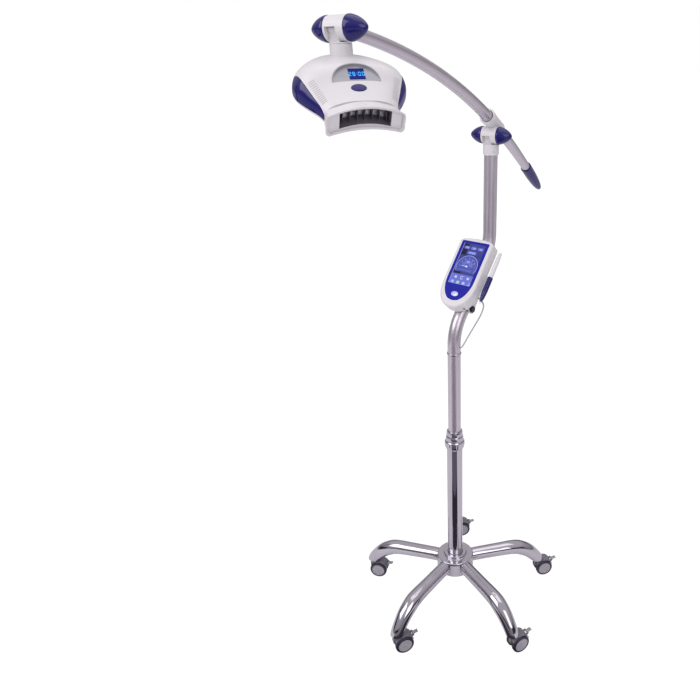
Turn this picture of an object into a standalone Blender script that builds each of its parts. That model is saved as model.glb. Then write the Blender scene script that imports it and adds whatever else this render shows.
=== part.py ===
"""Teeth whitening lamp on a five-star castor stand, every piece its own solid.

Metres, +Z up. The origin lies on the floor, on the axis of the column. The
column leans back in the YZ plane, and the controller faces -Y. The pose is the
one in use: arm raised, head turned towards +X and nodded down.
"""

import math

import bmesh
import bpy
from mathutils import Matrix, Vector

# Shared clearances and modelling values
GAP = 0.0003
OVERRUN = 0.004
WELD = 0.00001
CUT_HALF = 0.1

# Star base
LEG_COUNT = 5
BACK_LEG_ANGLE = math.radians(124.5)
CASTOR_RADIUS = 0.2555
LEG_RADIUS = 0.0182
LEG_WALL = 0.0018
LEG_ROOT = 0.0380
LEG_TIP_HEIGHT = 0.0545
LEG_PLUG = 0.024
# Places along a leg: share of the castor radius, share of the leg's drop
# from root to tip, and share of the leg's own radius
LEG_SHARES = [
    (0.145, 0.00, 1.00),
    (0.220, 0.00, 1.00),
    (0.340, 0.02, 1.01),
    (0.520, 0.06, 1.04),
    (0.640, 0.09, 1.08),
    (0.730, 0.15, 1.12),
    (0.800, 0.27, 1.12),
    (0.870, 0.45, 1.08),
    (0.940, 0.72, 1.00),
    (0.985, 0.95, 0.95),
    (1.000, 1.15, 0.95),
]
LEG_ROOT_HEIGHT = 0.1225

HUB_RADIUS = 0.0505
HUB_BOTTOM = 0.0980
HUB_TOP = 0.1420
HUB_EDGE = 0.0040
HUB_RING_RADIUS = 0.0310
HUB_RING_HEIGHT = 0.0080
HUB_FLOOR = 0.0060
SOCKET_DEPTH = 0.0130

# Castors
WHEEL_RADIUS = 0.0245
WHEEL_WIDTH = 0.0130
WHEEL_INNER = 0.0062
WHEEL_EDGE = 0.0035
WHEEL_DISC_RADIUS = 0.0190
WHEEL_DISC_RECESS = 0.0008
AXLE_RADIUS = 0.0030
CASTOR_TRAIL = 0.0170
WEB_THICKNESS = 0.0080
HOOD_GAP = 0.0010
HOOD_WALL = 0.0017
HOOD_HALF_WIDTH = 0.0150
HOOD_START = math.radians(20)
HOOD_END = math.radians(150)
BOSS_RADIUS = 0.0105
STEM_RADIUS = 0.0055
STEM_LENGTH = 0.0130
BRAKE_PIN_RADIUS = 0.0014
BRAKE_WIDTH = 0.0100
BRAKE_LENGTH = 0.0150
BRAKE_THICKNESS = 0.0030
BRAKE_RISE = math.radians(12)
EAR_THICKNESS = 0.0024
EAR_RADIUS = 0.0034
# Rolling direction of each castor about its stem, from the back leg round
CASTOR_TURNS = [math.radians(a) for a in (44.5, 25.0, 58.5, 65.0, 51.0)]
# Castor web: the heel's share of the boss radius, then shares of the wheel
# radius, forward and up from the axle
WEB_BOSS_SHARE = 0.80
WEB_HEEL_SHARE = 0.20
WEB_SHARES = [(-0.45, -0.42), (0.30, -0.55), (0.85, -0.10)]
STEM_ROOT_SHARE = 1.50
EAR_CORNER_SHARE = 0.70

# Column
LOWER_TUBE_RADIUS = 0.0205
LOWER_TUBE_WALL = 0.0018
INNER_TUBE_RADIUS = 0.0163
INNER_TUBE_WALL = 0.0016
BUSH_LENGTH = 0.0700
COLLAR_TOP = 0.5400
COLLAR_LENGTH = 0.0515
COLLAR_BOTTOM = COLLAR_TOP - COLLAR_LENGTH
COLLAR_REACH = 0.0250
LOWER_TUBE_TOP = COLLAR_TOP - COLLAR_REACH
INNER_TUBE_OVERLAP = 0.2150
INNER_TUBE_BOTTOM = LOWER_TUBE_TOP - INNER_TUBE_OVERLAP
COLLAR_RADIUS = 0.0262
COLLAR_LEDGE = 0.0004
# Lock collar: share of its radius, and share of its length from the top
COLLAR_SHARES = [
    (0.76, 0.00), (0.80, 0.08), (0.80, 0.24), (0.86, 0.30), (0.90, 0.52),
    (0.99, 0.60), (1.00, 0.78), (0.95, 0.90), (0.88, 1.00),
]
RING_HEIGHT = 0.7590
RING_THICKNESS = 0.0060
RING_RADIUS = 0.0180
RING_PLUG = 0.0165
RING_BORE = 0.0080

# Mast above the ring, bent back and up again
BEND_RISE = 0.0215
BEND_START = RING_HEIGHT + BEND_RISE
BEND_RADIUS = 0.0992
BEND_LEAN = math.radians(41.6)
BEND_STRAIGHT = 0.1580
MAST_RISE = 0.5025
PIVOT_HEIGHT = RING_HEIGHT + MAST_RISE
MAST_DROP = 0.0245
MAST_TOP = PIVOT_HEIGHT - MAST_DROP

# Controller
FACE_OFFSET = 0.0519
FACE_RISE = 0.0210
FACE_SIDE = -0.0060
CASE_WIDTH = 0.0960
CASE_TOP = 0.0890
CASE_TIP = 0.0960
CASE_FRONT_DEPTH = 0.0165
CASE_BACK_DEPTH = 0.0145
CASE_WALL = 0.0026
CASE_EDGE = 0.0050
BEZEL_WIDTH = 0.0780
BEZEL_TOP = 0.0790
BEZEL_TIP = 0.0790
BEZEL_THICKNESS = 0.0016
SCREEN_WIDTH = 0.0620
SCREEN_TOP = 0.0730
SCREEN_BOTTOM = -0.0365
SCREEN_THICKNESS = 0.0034
BOARD_THICKNESS = 0.0016
BADGE_WIDTH = 0.0200
BADGE_HEIGHT = 0.0130
BADGE_DEPTH = 0.0060
BADGE_PLACE = -0.0620
BADGE_PROUD = 0.0010
# Outline of the case and bezel: share of half width, and share of the
# distance from the middle to the top or to the tip
CASE_SHARES = [
    (0.00, 1.00), (0.45, 0.985), (0.80, 0.955), (0.95, 0.90), (1.00, 0.80),
    (1.00, 0.30), (1.00, -0.30), (0.985, -0.48), (0.90, -0.66),
    (0.72, -0.83), (0.46, -0.945), (0.22, -0.99), (0.00, -1.00),
]
BEZEL_SHARES = [
    (0.00, 1.00), (0.96, 1.00), (1.00, 0.96), (1.00, 0.40), (1.00, -0.30),
    (0.97, -0.46), (0.87, -0.64), (0.69, -0.81), (0.44, -0.94),
    (0.21, -0.985), (0.00, -1.00),
]

BRACKET_HALF_WIDTH = 0.0200
BRACKET_TOP = 0.0250
BRACKET_BOTTOM = -0.0850
BRACKET_BACK = 0.0060
CLAMP_KNOB_RADIUS = 0.0085
CLAMP_KNOB_LENGTH = 0.0085
CLAMP_KNOB_EDGE = 0.0013
CLAMP_SCREW_RADIUS = 0.0025
CLAMP_KNOB_PLACE = -0.0740

STYLUS_RADIUS = 0.0056
STYLUS_TOP = 0.0720
STYLUS_TIP = -0.0650
STYLUS_SIDE = 0.0140
STYLUS_DEPTH = 0.0230
HOLDER_LENGTH = 0.0260
HOLDER_WALL = 0.0018
HOLDER_PLACE = 0.0180
HOLDER_BLOCK_SHARE = 0.80
# Pen: share of its radius, and share of its length from its top
STYLUS_HEAD_SHARES = [(0.60, 0.004), (0.80, 0.030), (1.00, 0.200)]
# Grip: share of the radius, and share of the pen's length under the holder
STYLUS_GRIP_SHARES = [(1.20, 0.00), (1.20, 0.28), (0.95, 0.40), (0.55, 0.47)]
STYLUS_TIP_SHARE = 0.30
STYLUS_POINT_SHARE = 0.015

CABLE_RADIUS = 0.0019
# The cord's route, chosen by hand: from the back of the case, behind the pen
# and down to the side of the mast, with heights above the chromed ring
CABLE_ROUTE = [
    (0.0340, 0.0457, 0.1412),
    (0.0341, 0.0487, 0.1386),
    (0.0352, 0.0524, 0.1350),
    (0.0405, 0.0545, 0.1310),
    (0.0490, 0.0510, 0.1260),
    (0.0555, 0.0450, 0.1210),
    (0.0567, 0.0400, 0.1140),
    (0.0552, 0.0370, 0.1060),
    (0.0520, 0.0332, 0.0955),
    (0.0466, 0.0280, 0.0823),
    (0.0395, 0.0218, 0.0655),
    (0.0305, 0.0130, 0.0433),
    (0.0248, 0.0062, 0.0278),
    (0.0215, 0.0015, 0.0205),
    (0.0167, 0.0008, 0.0185),
]

# Pivot shared by the mast joint and the head joint
BARREL_RADIUS = 0.0196
BARREL_LENGTH = 0.0380
PIVOT_BOLT_RADIUS = 0.0040
SLOT_WIDTH = 0.0200
SLOT_SIDE = -0.0050
TONGUE_RADIUS = 0.0115
# The tongue is narrower below its nose, so that it turns inside the slot
TONGUE_HALF = 0.0092
KNOB_RADIUS = 0.0202
KNOB_LENGTH = 0.0336
KNOB_BLIND = 0.0120
# Knob profile: share of its radius and share of its length from the base
KNOB_SHARES = [
    (0.00, 1.00), (0.12, 0.98), (0.36, 0.87), (0.62, 0.67), (0.83, 0.44),
    (0.97, 0.19), (1.00, 0.05), (0.985, 0.00),
]

POST_RADIUS = 0.0190
POST_LENGTH = 0.0445
POST_EDGE = 0.0012

# Arm
ARM_YAW = math.radians(6.5)
ARM_RISE = math.radians(29.57)
ARM_ROLL = math.radians(2.5)
ARM_BEND_RADIUS = 1.610
ARM_REACH = 0.607
ARM_TAIL = 0.250
ARM_TAIL_BEND = 2.200
ARM_RADIUS = 0.0133
ARM_HEAD_RADIUS = 0.0104
ARM_TAIL_RADIUS = 0.0112
ARM_WALL = 0.0015
ARM_TIP_LENGTH = 0.1150
ARM_TIP_RADIUS = 0.0142
ARM_TIP_CUP = 0.0120
# Tip cap: share of its radius and share of its length, from seam to end
ARM_TIP_SHARES = [
    (1.00, 0.10), (0.96, 0.36), (0.84, 0.62), (0.66, 0.82), (0.44, 0.94),
    (0.20, 0.99),
]
SLEEVE_OFFSET = 0.0280
SLEEVE_LENGTH = 0.0620
SLEEVE_WALL = 0.0022
SLEEVE_PLAY = 0.0011
SLEEVE_FLARE = 0.0025
SLEEVE_LEAD = 0.0110
SLEEVE_NECK_SHARE = 0.55
SPIGOT_LENGTH = 0.0200
SPIGOT_PLAY = 0.0012
NECK_STUB = 0.0260

# Neck and head
NECK_LEAN = math.radians(1.25)
NECK_RADIUS = 0.0178
NECK_PLAY = 0.0005
NECK_TOP = BARREL_RADIUS + NECK_PLAY
NECK_RING = 0.0020
NECK_SEAM = NECK_TOP + NECK_RING
NECK_COLLAR_LENGTH = 0.0300
NECK_HOLE_SHARE = 1.4
SWIVEL_PIN_RADIUS = 0.0080
SWIVEL_PIN_LENGTH = 0.0100
HEAD_TURN = math.radians(49.3)
HEAD_NOD = math.radians(29.8)
HEAD_DROP = 0.0039
HEAD_OFFSET = 0.0025
HEAD_WIDTH = 0.1774
HEAD_BACK = 0.0320
HEAD_FRONT = 0.1270
HEAD_SPLIT = -0.0457
HEAD_HEIGHT = 0.0509
HEAD_DEPTH = 0.0120
HEAD_WALL = 0.0026
HEAD_POWER = 2.5
PANEL_START = 0.34
STRAP_PLACE = -0.0560
STRAP_WIDTH = 0.0100
STRAP_RISE = 0.0025
STRAP_THICKNESS = 0.0025
# Head outline: share of the length from back to mouth, share of half width
HEAD_SHARES = [
    (0.000, 0.000), (0.021, 0.253), (0.063, 0.451), (0.126, 0.607),
    (0.210, 0.743), (0.315, 0.875), (0.420, 0.962), (0.525, 1.000),
    (0.630, 0.990), (0.714, 0.935), (0.819, 0.825), (0.914, 0.715),
    (1.000, 0.650),
]
# Crown: share of the length, share of the height above the split
CROWN_SHARES = [
    (0.000, 0.653), (0.158, 0.714), (0.315, 0.821), (0.473, 0.953),
    (0.540, 1.000), (0.610, 1.025), (0.683, 0.955), (0.767, 0.800),
    (0.861, 0.684),
    (0.966, 0.593), (1.000, 0.572),
]
# Coloured panel: share of the length, share of the way up the side
PANEL_SHARES = [
    (0.340, 0.00), (0.420, 0.12), (0.520, 0.24), (0.610, 0.30),
    (0.725, 0.35), (0.830, 0.36), (0.925, 0.31), (0.985, 0.20),
    (1.000, 0.14),
]
HEAD_SPINE_START = 0.48
HEAD_STEPS = 32
HEAD_ROWS = 6

MOUTH_DEPTH = 0.0256
MOUTH_FRONT_HALF = 0.0610
MOUTH_FRONT_SIDE = 0.0200
MOUTH_FRONT_RISE = 0.0148
MOUTH_BACK_HALF = 0.0568
MOUTH_BACK_SIDE = 0.0145
MOUTH_BACK_RISE = 0.0140
MOUTH_FLOOR = 0.0120
MOUTH_ARCH = 0.0085
MOUTH_RIM = 0.0040
MOUTH_POCKET = 0.0050
MOUTH_CORNER = 0.0070
RECESS_HALF = 0.0402
RECESS_TOP = 0.0228
RECESS_FLOOR = 0.0032
RECESS_ARCH = 0.0060
RECESS_TAPER = 0.0032
BOARD_MARGIN = 0.0007
LED_BOARD_THICKNESS = 0.0020
LED_COUNT = 6
LED_PITCH = 0.0113
LED_RADIUS = 0.0045
LED_HEIGHT = 0.0030
LED_STRIP = 0.0012
LED_BAND_LOW = 0.0014
LED_BAND_HEIGHT = 0.0102
# Lamp dome: share of its radius, and share of its height
LED_SHARES = [(1.00, 0.50), (0.75, 0.90), (0.35, 1.00)]
SINK_HALF = 0.0360
SINK_LOW = 0.0060
SINK_HIGH = 0.0200
SINK_BASE = 0.0040
SINK_FIN_LENGTH = 0.0120
SINK_FIN_THICKNESS = 0.0018
SINK_FIN_COUNT = 7
SINK_BORE_SHARE = 0.70
FAN_RADIUS = 0.0115
FAN_HUB_RADIUS = 0.0050
FAN_THICKNESS = 0.0060
FAN_BLADES = 5
# Fan blade: shares of the fan's thickness
FAN_BLADE_SHARE = 0.12
FAN_BLADE_LOW_SHARE = 0.20
FAN_BLADE_HIGH_SHARE = 0.80
FAN_SHAFT_RADIUS = 0.0015
FAN_STAND_OFF = 0.0030

WINDOW_WIDTH = 0.0745
WINDOW_HEIGHT = 0.0310
WINDOW_PLACE = 0.0905
WINDOW_BASE = -0.0070
WINDOW_TILT = math.radians(19.0)
WINDOW_THICKNESS = 0.0024
WINDOW_RIM = 0.0014
WINDOW_REACH = 0.0160
DISPLAY_WIDTH = 0.0265
DISPLAY_HEIGHT = 0.0180
DISPLAY_THICKNESS = 0.0060
DISPLAY_PLACE = 0.0130
BUTTON_WIDTH = 0.0235
BUTTON_DEPTH = 0.0135
BUTTON_HEIGHT = 0.0060
BUTTON_PLACE = 0.1027
BUTTON_TILT = math.radians(18.0)
BUTTON_PROUD = 0.0012

COLOURS = {
    "chrome": ((0.78, 0.78, 0.80), 0.08, 1.0),
    "silver": ((0.60, 0.57, 0.61), 0.32, 1.0),
    "white": ((0.84, 0.84, 0.86), 0.25, 0.0),
    "blue": ((0.030, 0.022, 0.330), 0.12, 0.0),
    "bezel_blue": ((0.010, 0.035, 0.420), 0.15, 0.0),
    "grey": ((0.36, 0.34, 0.37), 0.45, 0.0),
    "light_grey": ((0.52, 0.52, 0.55), 0.40, 0.0),
    "tread": ((0.025, 0.020, 0.045), 0.60, 0.0),
    "screen": ((0.010, 0.016, 0.060), 0.08, 0.0),
    "display": ((0.010, 0.020, 0.300), 0.10, 0.0),
    "board": ((0.020, 0.110, 0.050), 0.50, 0.0),
    "dark": ((0.030, 0.030, 0.040), 0.40, 0.0),
    "lens": ((0.80, 0.82, 0.88), 0.05, 0.0),
    "aluminium": ((0.72, 0.72, 0.74), 0.35, 1.0),
    "cable": ((0.60, 0.60, 0.63), 0.50, 0.0),
}


def clear_scene():
    for obj in list(bpy.data.objects):
        bpy.data.objects.remove(obj, do_unlink=True)


def new_collection(name):
    group = bpy.data.collections.new(name)
    bpy.context.scene.collection.children.link(group)
    return group


clear_scene()
PARTS = new_collection("teeth_whitening_lamp")
CUTTERS = new_collection("cutters")
FRAMES = new_collection("joint_frames")


def material(name):
    found = bpy.data.materials.get(name)
    if found:
        return found
    colour, roughness, metallic = COLOURS[name]
    made = bpy.data.materials.new(name)
    made.use_nodes = True
    shader = made.node_tree.nodes["Principled BSDF"]
    shader.inputs["Base Color"].default_value = (*colour, 1.0)
    shader.inputs["Roughness"].default_value = roughness
    shader.inputs["Metallic"].default_value = metallic
    return made


def frame(name, parent=None, at=(0, 0, 0), turn=(0, 0, 0)):
    """An empty that carries the pieces of one joint or one assembly."""
    empty = bpy.data.objects.new(name, None)
    empty.empty_display_size = KNOB_RADIUS
    FRAMES.objects.link(empty)
    empty.parent = parent
    empty.location = at
    empty.rotation_euler = turn
    return empty


def link(name, data, group, parent=None, at=(0, 0, 0), turn=(0, 0, 0)):
    obj = bpy.data.objects.new(name, data)
    group.objects.link(obj)
    obj.parent = parent
    obj.location = at
    obj.rotation_euler = turn
    return obj


def piece(name, data, colour, parent=None, at=(0, 0, 0), turn=(0, 0, 0)):
    obj = link(name, data, PARTS, parent, at, turn)
    data.materials.clear()
    data.materials.append(material(colour))
    return obj


def tool(name, data, parent=None, at=(0, 0, 0), turn=(0, 0, 0)):
    """A cutter, or a solid that is joined to a piece."""
    obj = link(name, data, CUTTERS, parent, at, turn)
    obj.hide_render = True
    obj.display_type = "WIRE"
    return obj


def combine(obj, other, operation="DIFFERENCE"):
    step = obj.modifiers.new(other.name, "BOOLEAN")
    step.operation = operation
    step.object = other
    step.solver = "EXACT"


def smooth(mesh, angle=math.radians(35)):
    mesh.shade_smooth()
    mesh.set_sharp_from_angle(angle=angle)


def mesh_from(build, name):
    """Runs a builder on an empty bmesh and keeps what it made."""
    bm = bmesh.new()
    build(bm)
    mesh = bpy.data.meshes.new(name)
    bm.to_mesh(mesh)
    bm.free()
    smooth(mesh)
    return mesh


def box_mesh(name, low, high):
    low, high = Vector(low), Vector(high)

    def build(bm):
        size = high - low
        place = Matrix.Translation((low + high) / 2) @ Matrix.Diagonal((*size, 1))
        bmesh.ops.create_cube(bm, size=1.0, matrix=place)

    return mesh_from(build, name)


def rod_mesh(name, radius, start, end, sides=24, end_radius=None):
    """A cylinder or cone between two points."""
    start, end = Vector(start), Vector(end)
    along = end - start

    def build(bm):
        turn = along.to_track_quat("Z", "Y").to_matrix().to_4x4()
        bmesh.ops.create_cone(
            bm, cap_ends=True, segments=sides, radius1=radius,
            radius2=radius if end_radius is None else end_radius,
            depth=along.length,
            matrix=Matrix.Translation((start + end) / 2) @ turn)

    return mesh_from(build, name)


def stacked_mesh(name, rings, sides=28):
    """A round solid grown ring by ring along Z, with flat ends."""

    def build(bm):
        radius, height = rings[0]
        bmesh.ops.create_circle(
            bm, cap_ends=True, segments=sides, radius=radius,
            matrix=Matrix.Translation((0, 0, height)))
        bm.faces.ensure_lookup_table()
        cap, inside = bm.faces[0], []
        for wider, higher in rings[1:]:
            grown = bmesh.ops.extrude_face_region(bm, geom=[cap])["geom"]
            for item in grown:
                if isinstance(item, bmesh.types.BMVert):
                    item.co.x *= wider / radius
                    item.co.y *= wider / radius
                    item.co.z = higher
            cap = next(g for g in grown if isinstance(g, bmesh.types.BMFace))
            inside.append(cap)
            radius = wider
        bmesh.ops.delete(bm, geom=inside[:-1], context="FACES_ONLY")
        bmesh.ops.recalc_face_normals(bm, faces=bm.faces)

    return mesh_from(build, name)


def turned_mesh(name, profile, closed):
    """Edges of a profile, down its outer side, for the Screw modifier."""
    mesh = bpy.data.meshes.new(name)
    verts = [(radius, 0, height) for radius, height in profile]
    edges = [(i, i + 1) for i in range(len(verts) - 1)]
    if closed:
        edges.append((len(verts) - 1, 0))
    mesh.from_pydata(verts, edges, [])
    return mesh


def screw(obj, steps):
    turn = obj.modifiers.new("turn", "SCREW")
    turn.steps = steps
    turn.render_steps = steps
    turn.use_merge_vertices = True
    turn.merge_threshold = WELD
    turn.use_smooth_shade = True
    return obj


def turned(name, profile, colour, parent=None, at=(0, 0, 0), turn=(0, 0, 0),
           closed=True, steps=28):
    """A piece turned about its own Z axis."""
    data = turned_mesh(name, profile, closed)
    return screw(piece(name, data, colour, parent, at, turn), steps)


def curve_data(name, points, radius, sides, shares=None, capped=True):
    """A tube's curve. Shares scale its radius from point to point."""
    data = bpy.data.curves.new(name, "CURVE")
    data.dimensions = "3D"
    data.bevel_depth = radius
    data.bevel_resolution = sides // 2 - 2
    data.use_fill_caps = capped
    spline = data.splines.new("POLY")
    spline.points.add(len(points) - 1)
    for i, point in enumerate(points):
        spline.points[i].co = (*point, 1)
        spline.points[i].radius = shares[i] if shares else 1.0
    spline.use_smooth = True
    return data


def as_mesh(obj):
    """A curve's evaluated mesh with its caps welded, and the curve removed."""
    bpy.context.view_layer.update()
    seen = obj.evaluated_get(bpy.context.evaluated_depsgraph_get())
    mesh = bpy.data.meshes.new_from_object(seen)
    bm = bmesh.new()
    bm.from_mesh(mesh)
    bmesh.ops.remove_doubles(bm, verts=bm.verts, dist=WELD)
    bm.to_mesh(mesh)
    bm.free()
    name, parent = obj.name, obj.parent
    place = obj.matrix_world.copy()
    group = obj.users_collection[0]
    bpy.data.objects.remove(obj)
    made = bpy.data.objects.new(name, mesh)
    group.objects.link(made)
    made.parent = parent
    bpy.context.view_layer.update()
    made.matrix_world = place
    if group == CUTTERS:
        made.hide_render = True
        made.display_type = "WIRE"
    return made


def shell_wall(obj, wall):
    """Gives an open surface its wall, inwards."""
    step = obj.modifiers.new("wall", "SOLIDIFY")
    step.thickness = wall
    step.offset = -1.0


def smooth_path(points, per_span):
    """Points of a smooth curve through the given places."""
    places = [Vector(p) for p in points]
    ends = [2 * places[0] - places[1], *places, 2 * places[-1] - places[-2]]
    made = []
    for i in range(len(places) - 1):
        before, start, stop, after = ends[i:i + 4]
        for k in range(per_span):
            t = k / per_span
            made.append(0.5 * (
                2 * start + (stop - before) * t
                + (2 * before - 5 * start + 4 * stop - after) * t ** 2
                + (3 * start - before - 3 * stop + after) * t ** 3))
    made.append(places[-1])
    return made


def flat_data(name, loops, thickness, edge=0.0):
    """A filled outline with holes, extruded both ways from its plane."""
    data = bpy.data.curves.new(name, "CURVE")
    data.dimensions = "2D"
    data.fill_mode = "BOTH"
    data.extrude = thickness / 2 - edge
    data.bevel_depth = edge
    data.bevel_resolution = 1
    data.offset = -edge
    for loop in loops:
        spline = data.splines.new("POLY")
        spline.points.add(len(loop) - 1)
        for i, point in enumerate(loop):
            spline.points[i].co = (point[0], point[1], 0, 1)
        spline.use_cyclic_u = True
    return data


def mirrored(half):
    """A closed loop from the +X half of an outline, top to bottom."""
    other = [(-x, y) for x, y in reversed(half) if x > 0]
    return half + other


def oval(width, height, count=20):
    turns = [2 * math.pi * i / count for i in range(count)]
    return [(width / 2 * math.cos(a), height / 2 * math.sin(a)) for a in turns]


def polar(radius, angle):
    return (radius * math.cos(angle), radius * math.sin(angle))


def tube_profile(outer, inner, bottom, top):
    return [(outer, top), (outer, bottom), (inner, bottom), (inner, top)]


def leg_angle(i):
    return BACK_LEG_ANGLE + i * 2 * math.pi / LEG_COUNT


# Star base


def make_hub():
    bore = LOWER_TUBE_RADIUS + GAP
    floor = HUB_BOTTOM + HUB_FLOOR
    top = HUB_TOP + HUB_RING_HEIGHT
    profile = [
        (0, floor),
        (bore, floor),
        (bore, top),
        (HUB_RING_RADIUS - HUB_EDGE / 2, top),
        (HUB_RING_RADIUS, top - HUB_EDGE / 2),
        (HUB_RING_RADIUS, HUB_TOP),
        (HUB_RADIUS - HUB_EDGE, HUB_TOP),
        (HUB_RADIUS, HUB_TOP - HUB_EDGE),
        (HUB_RADIUS, HUB_BOTTOM),
        (0, HUB_BOTTOM),
    ]
    hub = turned("base_hub", profile, "chrome", closed=False, steps=32)
    socket = LEG_RADIUS + GAP
    inner = HUB_RADIUS - SOCKET_DEPTH
    for i in range(LEG_COUNT):
        x, y = polar(inner, leg_angle(i))
        far_x, far_y = polar(HUB_RADIUS + OVERRUN, leg_angle(i))
        hole = rod_mesh(
            f"leg_socket_{i + 1}", socket, (x, y, LEG_ROOT_HEIGHT),
            (far_x, far_y, LEG_ROOT_HEIGHT))
        combine(hub, tool(f"leg_socket_{i + 1}", hole))


def leg_path():
    drop = LEG_ROOT_HEIGHT - LEG_TIP_HEIGHT
    places = []
    for reach, fall, _ in LEG_SHARES:
        places.append(Vector((
            CASTOR_RADIUS * reach, 0, LEG_ROOT_HEIGHT - drop * fall)))
    places[0].x = HUB_RADIUS - SOCKET_DEPTH + GAP
    return places


def make_legs():
    places = leg_path()
    sizes = [size for _, _, size in LEG_SHARES]
    bore_share = 1 - LEG_WALL / LEG_RADIUS
    stop = next(i for i, p in enumerate(places)
                if p.z < LEG_TIP_HEIGHT + LEG_PLUG)
    core = [places[0] - Vector((OVERRUN, 0, 0)), *places[1:stop]]
    core_sizes = [sizes[i] * bore_share for i in range(stop)]
    tip = places[-1]
    for i in range(LEG_COUNT):
        name = f"leg_{i + 1}"
        carrier = frame(f"{name}_frame", turn=(0, 0, leg_angle(i)))
        leg = as_mesh(piece(name, curve_data(
            name, places, LEG_RADIUS, 14, sizes), "chrome", carrier))
        smooth(leg.data)
        hollow = as_mesh(tool(f"{name}_bore", curve_data(
            name, core, LEG_RADIUS, 10, core_sizes), carrier))
        combine(leg, hollow)
        trim = box_mesh(f"{name}_trim", (tip.x - CUT_HALF, -CUT_HALF, 0),
                        (tip.x + CUT_HALF, CUT_HALF, LEG_TIP_HEIGHT))
        combine(leg, tool(f"{name}_trim", trim, carrier))
        stem = rod_mesh(f"{name}_stem_hole", STEM_RADIUS + GAP,
                        (tip.x, 0, LEG_TIP_HEIGHT - OVERRUN),
                        (tip.x, 0, LEG_TIP_HEIGHT + STEM_LENGTH), 14)
        combine(leg, tool(f"{name}_stem_hole", stem, carrier))


# Castors: X is the axle, -Y the stem side, and the stem is the Z axis


def wheel_profile():
    """Both wheels and the axle between them, about the Z axis."""
    outer = WHEEL_INNER + WHEEL_WIDTH
    face = outer - WHEEL_DISC_RECESS
    half = [
        (0, face),
        (WHEEL_DISC_RADIUS, face),
        (WHEEL_DISC_RADIUS, outer),
        (WHEEL_RADIUS - WHEEL_EDGE, outer),
        (WHEEL_RADIUS, outer - WHEEL_EDGE),
        (WHEEL_RADIUS, WHEEL_INNER),
        (AXLE_RADIUS, WHEEL_INNER),
    ]
    return half + [(radius, -height) for radius, height in reversed(half)]


def hood_outline():
    """Side view of the hood: an arc band over the wheels."""
    inner = WHEEL_RADIUS + HOOD_GAP
    outer = inner + HOOD_WALL
    steps = 6
    turns = [HOOD_START + (HOOD_END - HOOD_START) * i / steps
             for i in range(steps + 1)]
    band = [polar(outer, a) for a in turns]
    return band + [polar(inner, a) for a in reversed(turns)]


def brake_place():
    """The brake lever's pin, in the castor's own frame."""
    reach = WHEEL_RADIUS + HOOD_GAP + HOOD_WALL + EAR_RADIUS
    y, z = polar(reach, HOOD_START + BRAKE_RISE)
    return y + CASTOR_TRAIL, z + WHEEL_RADIUS


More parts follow.
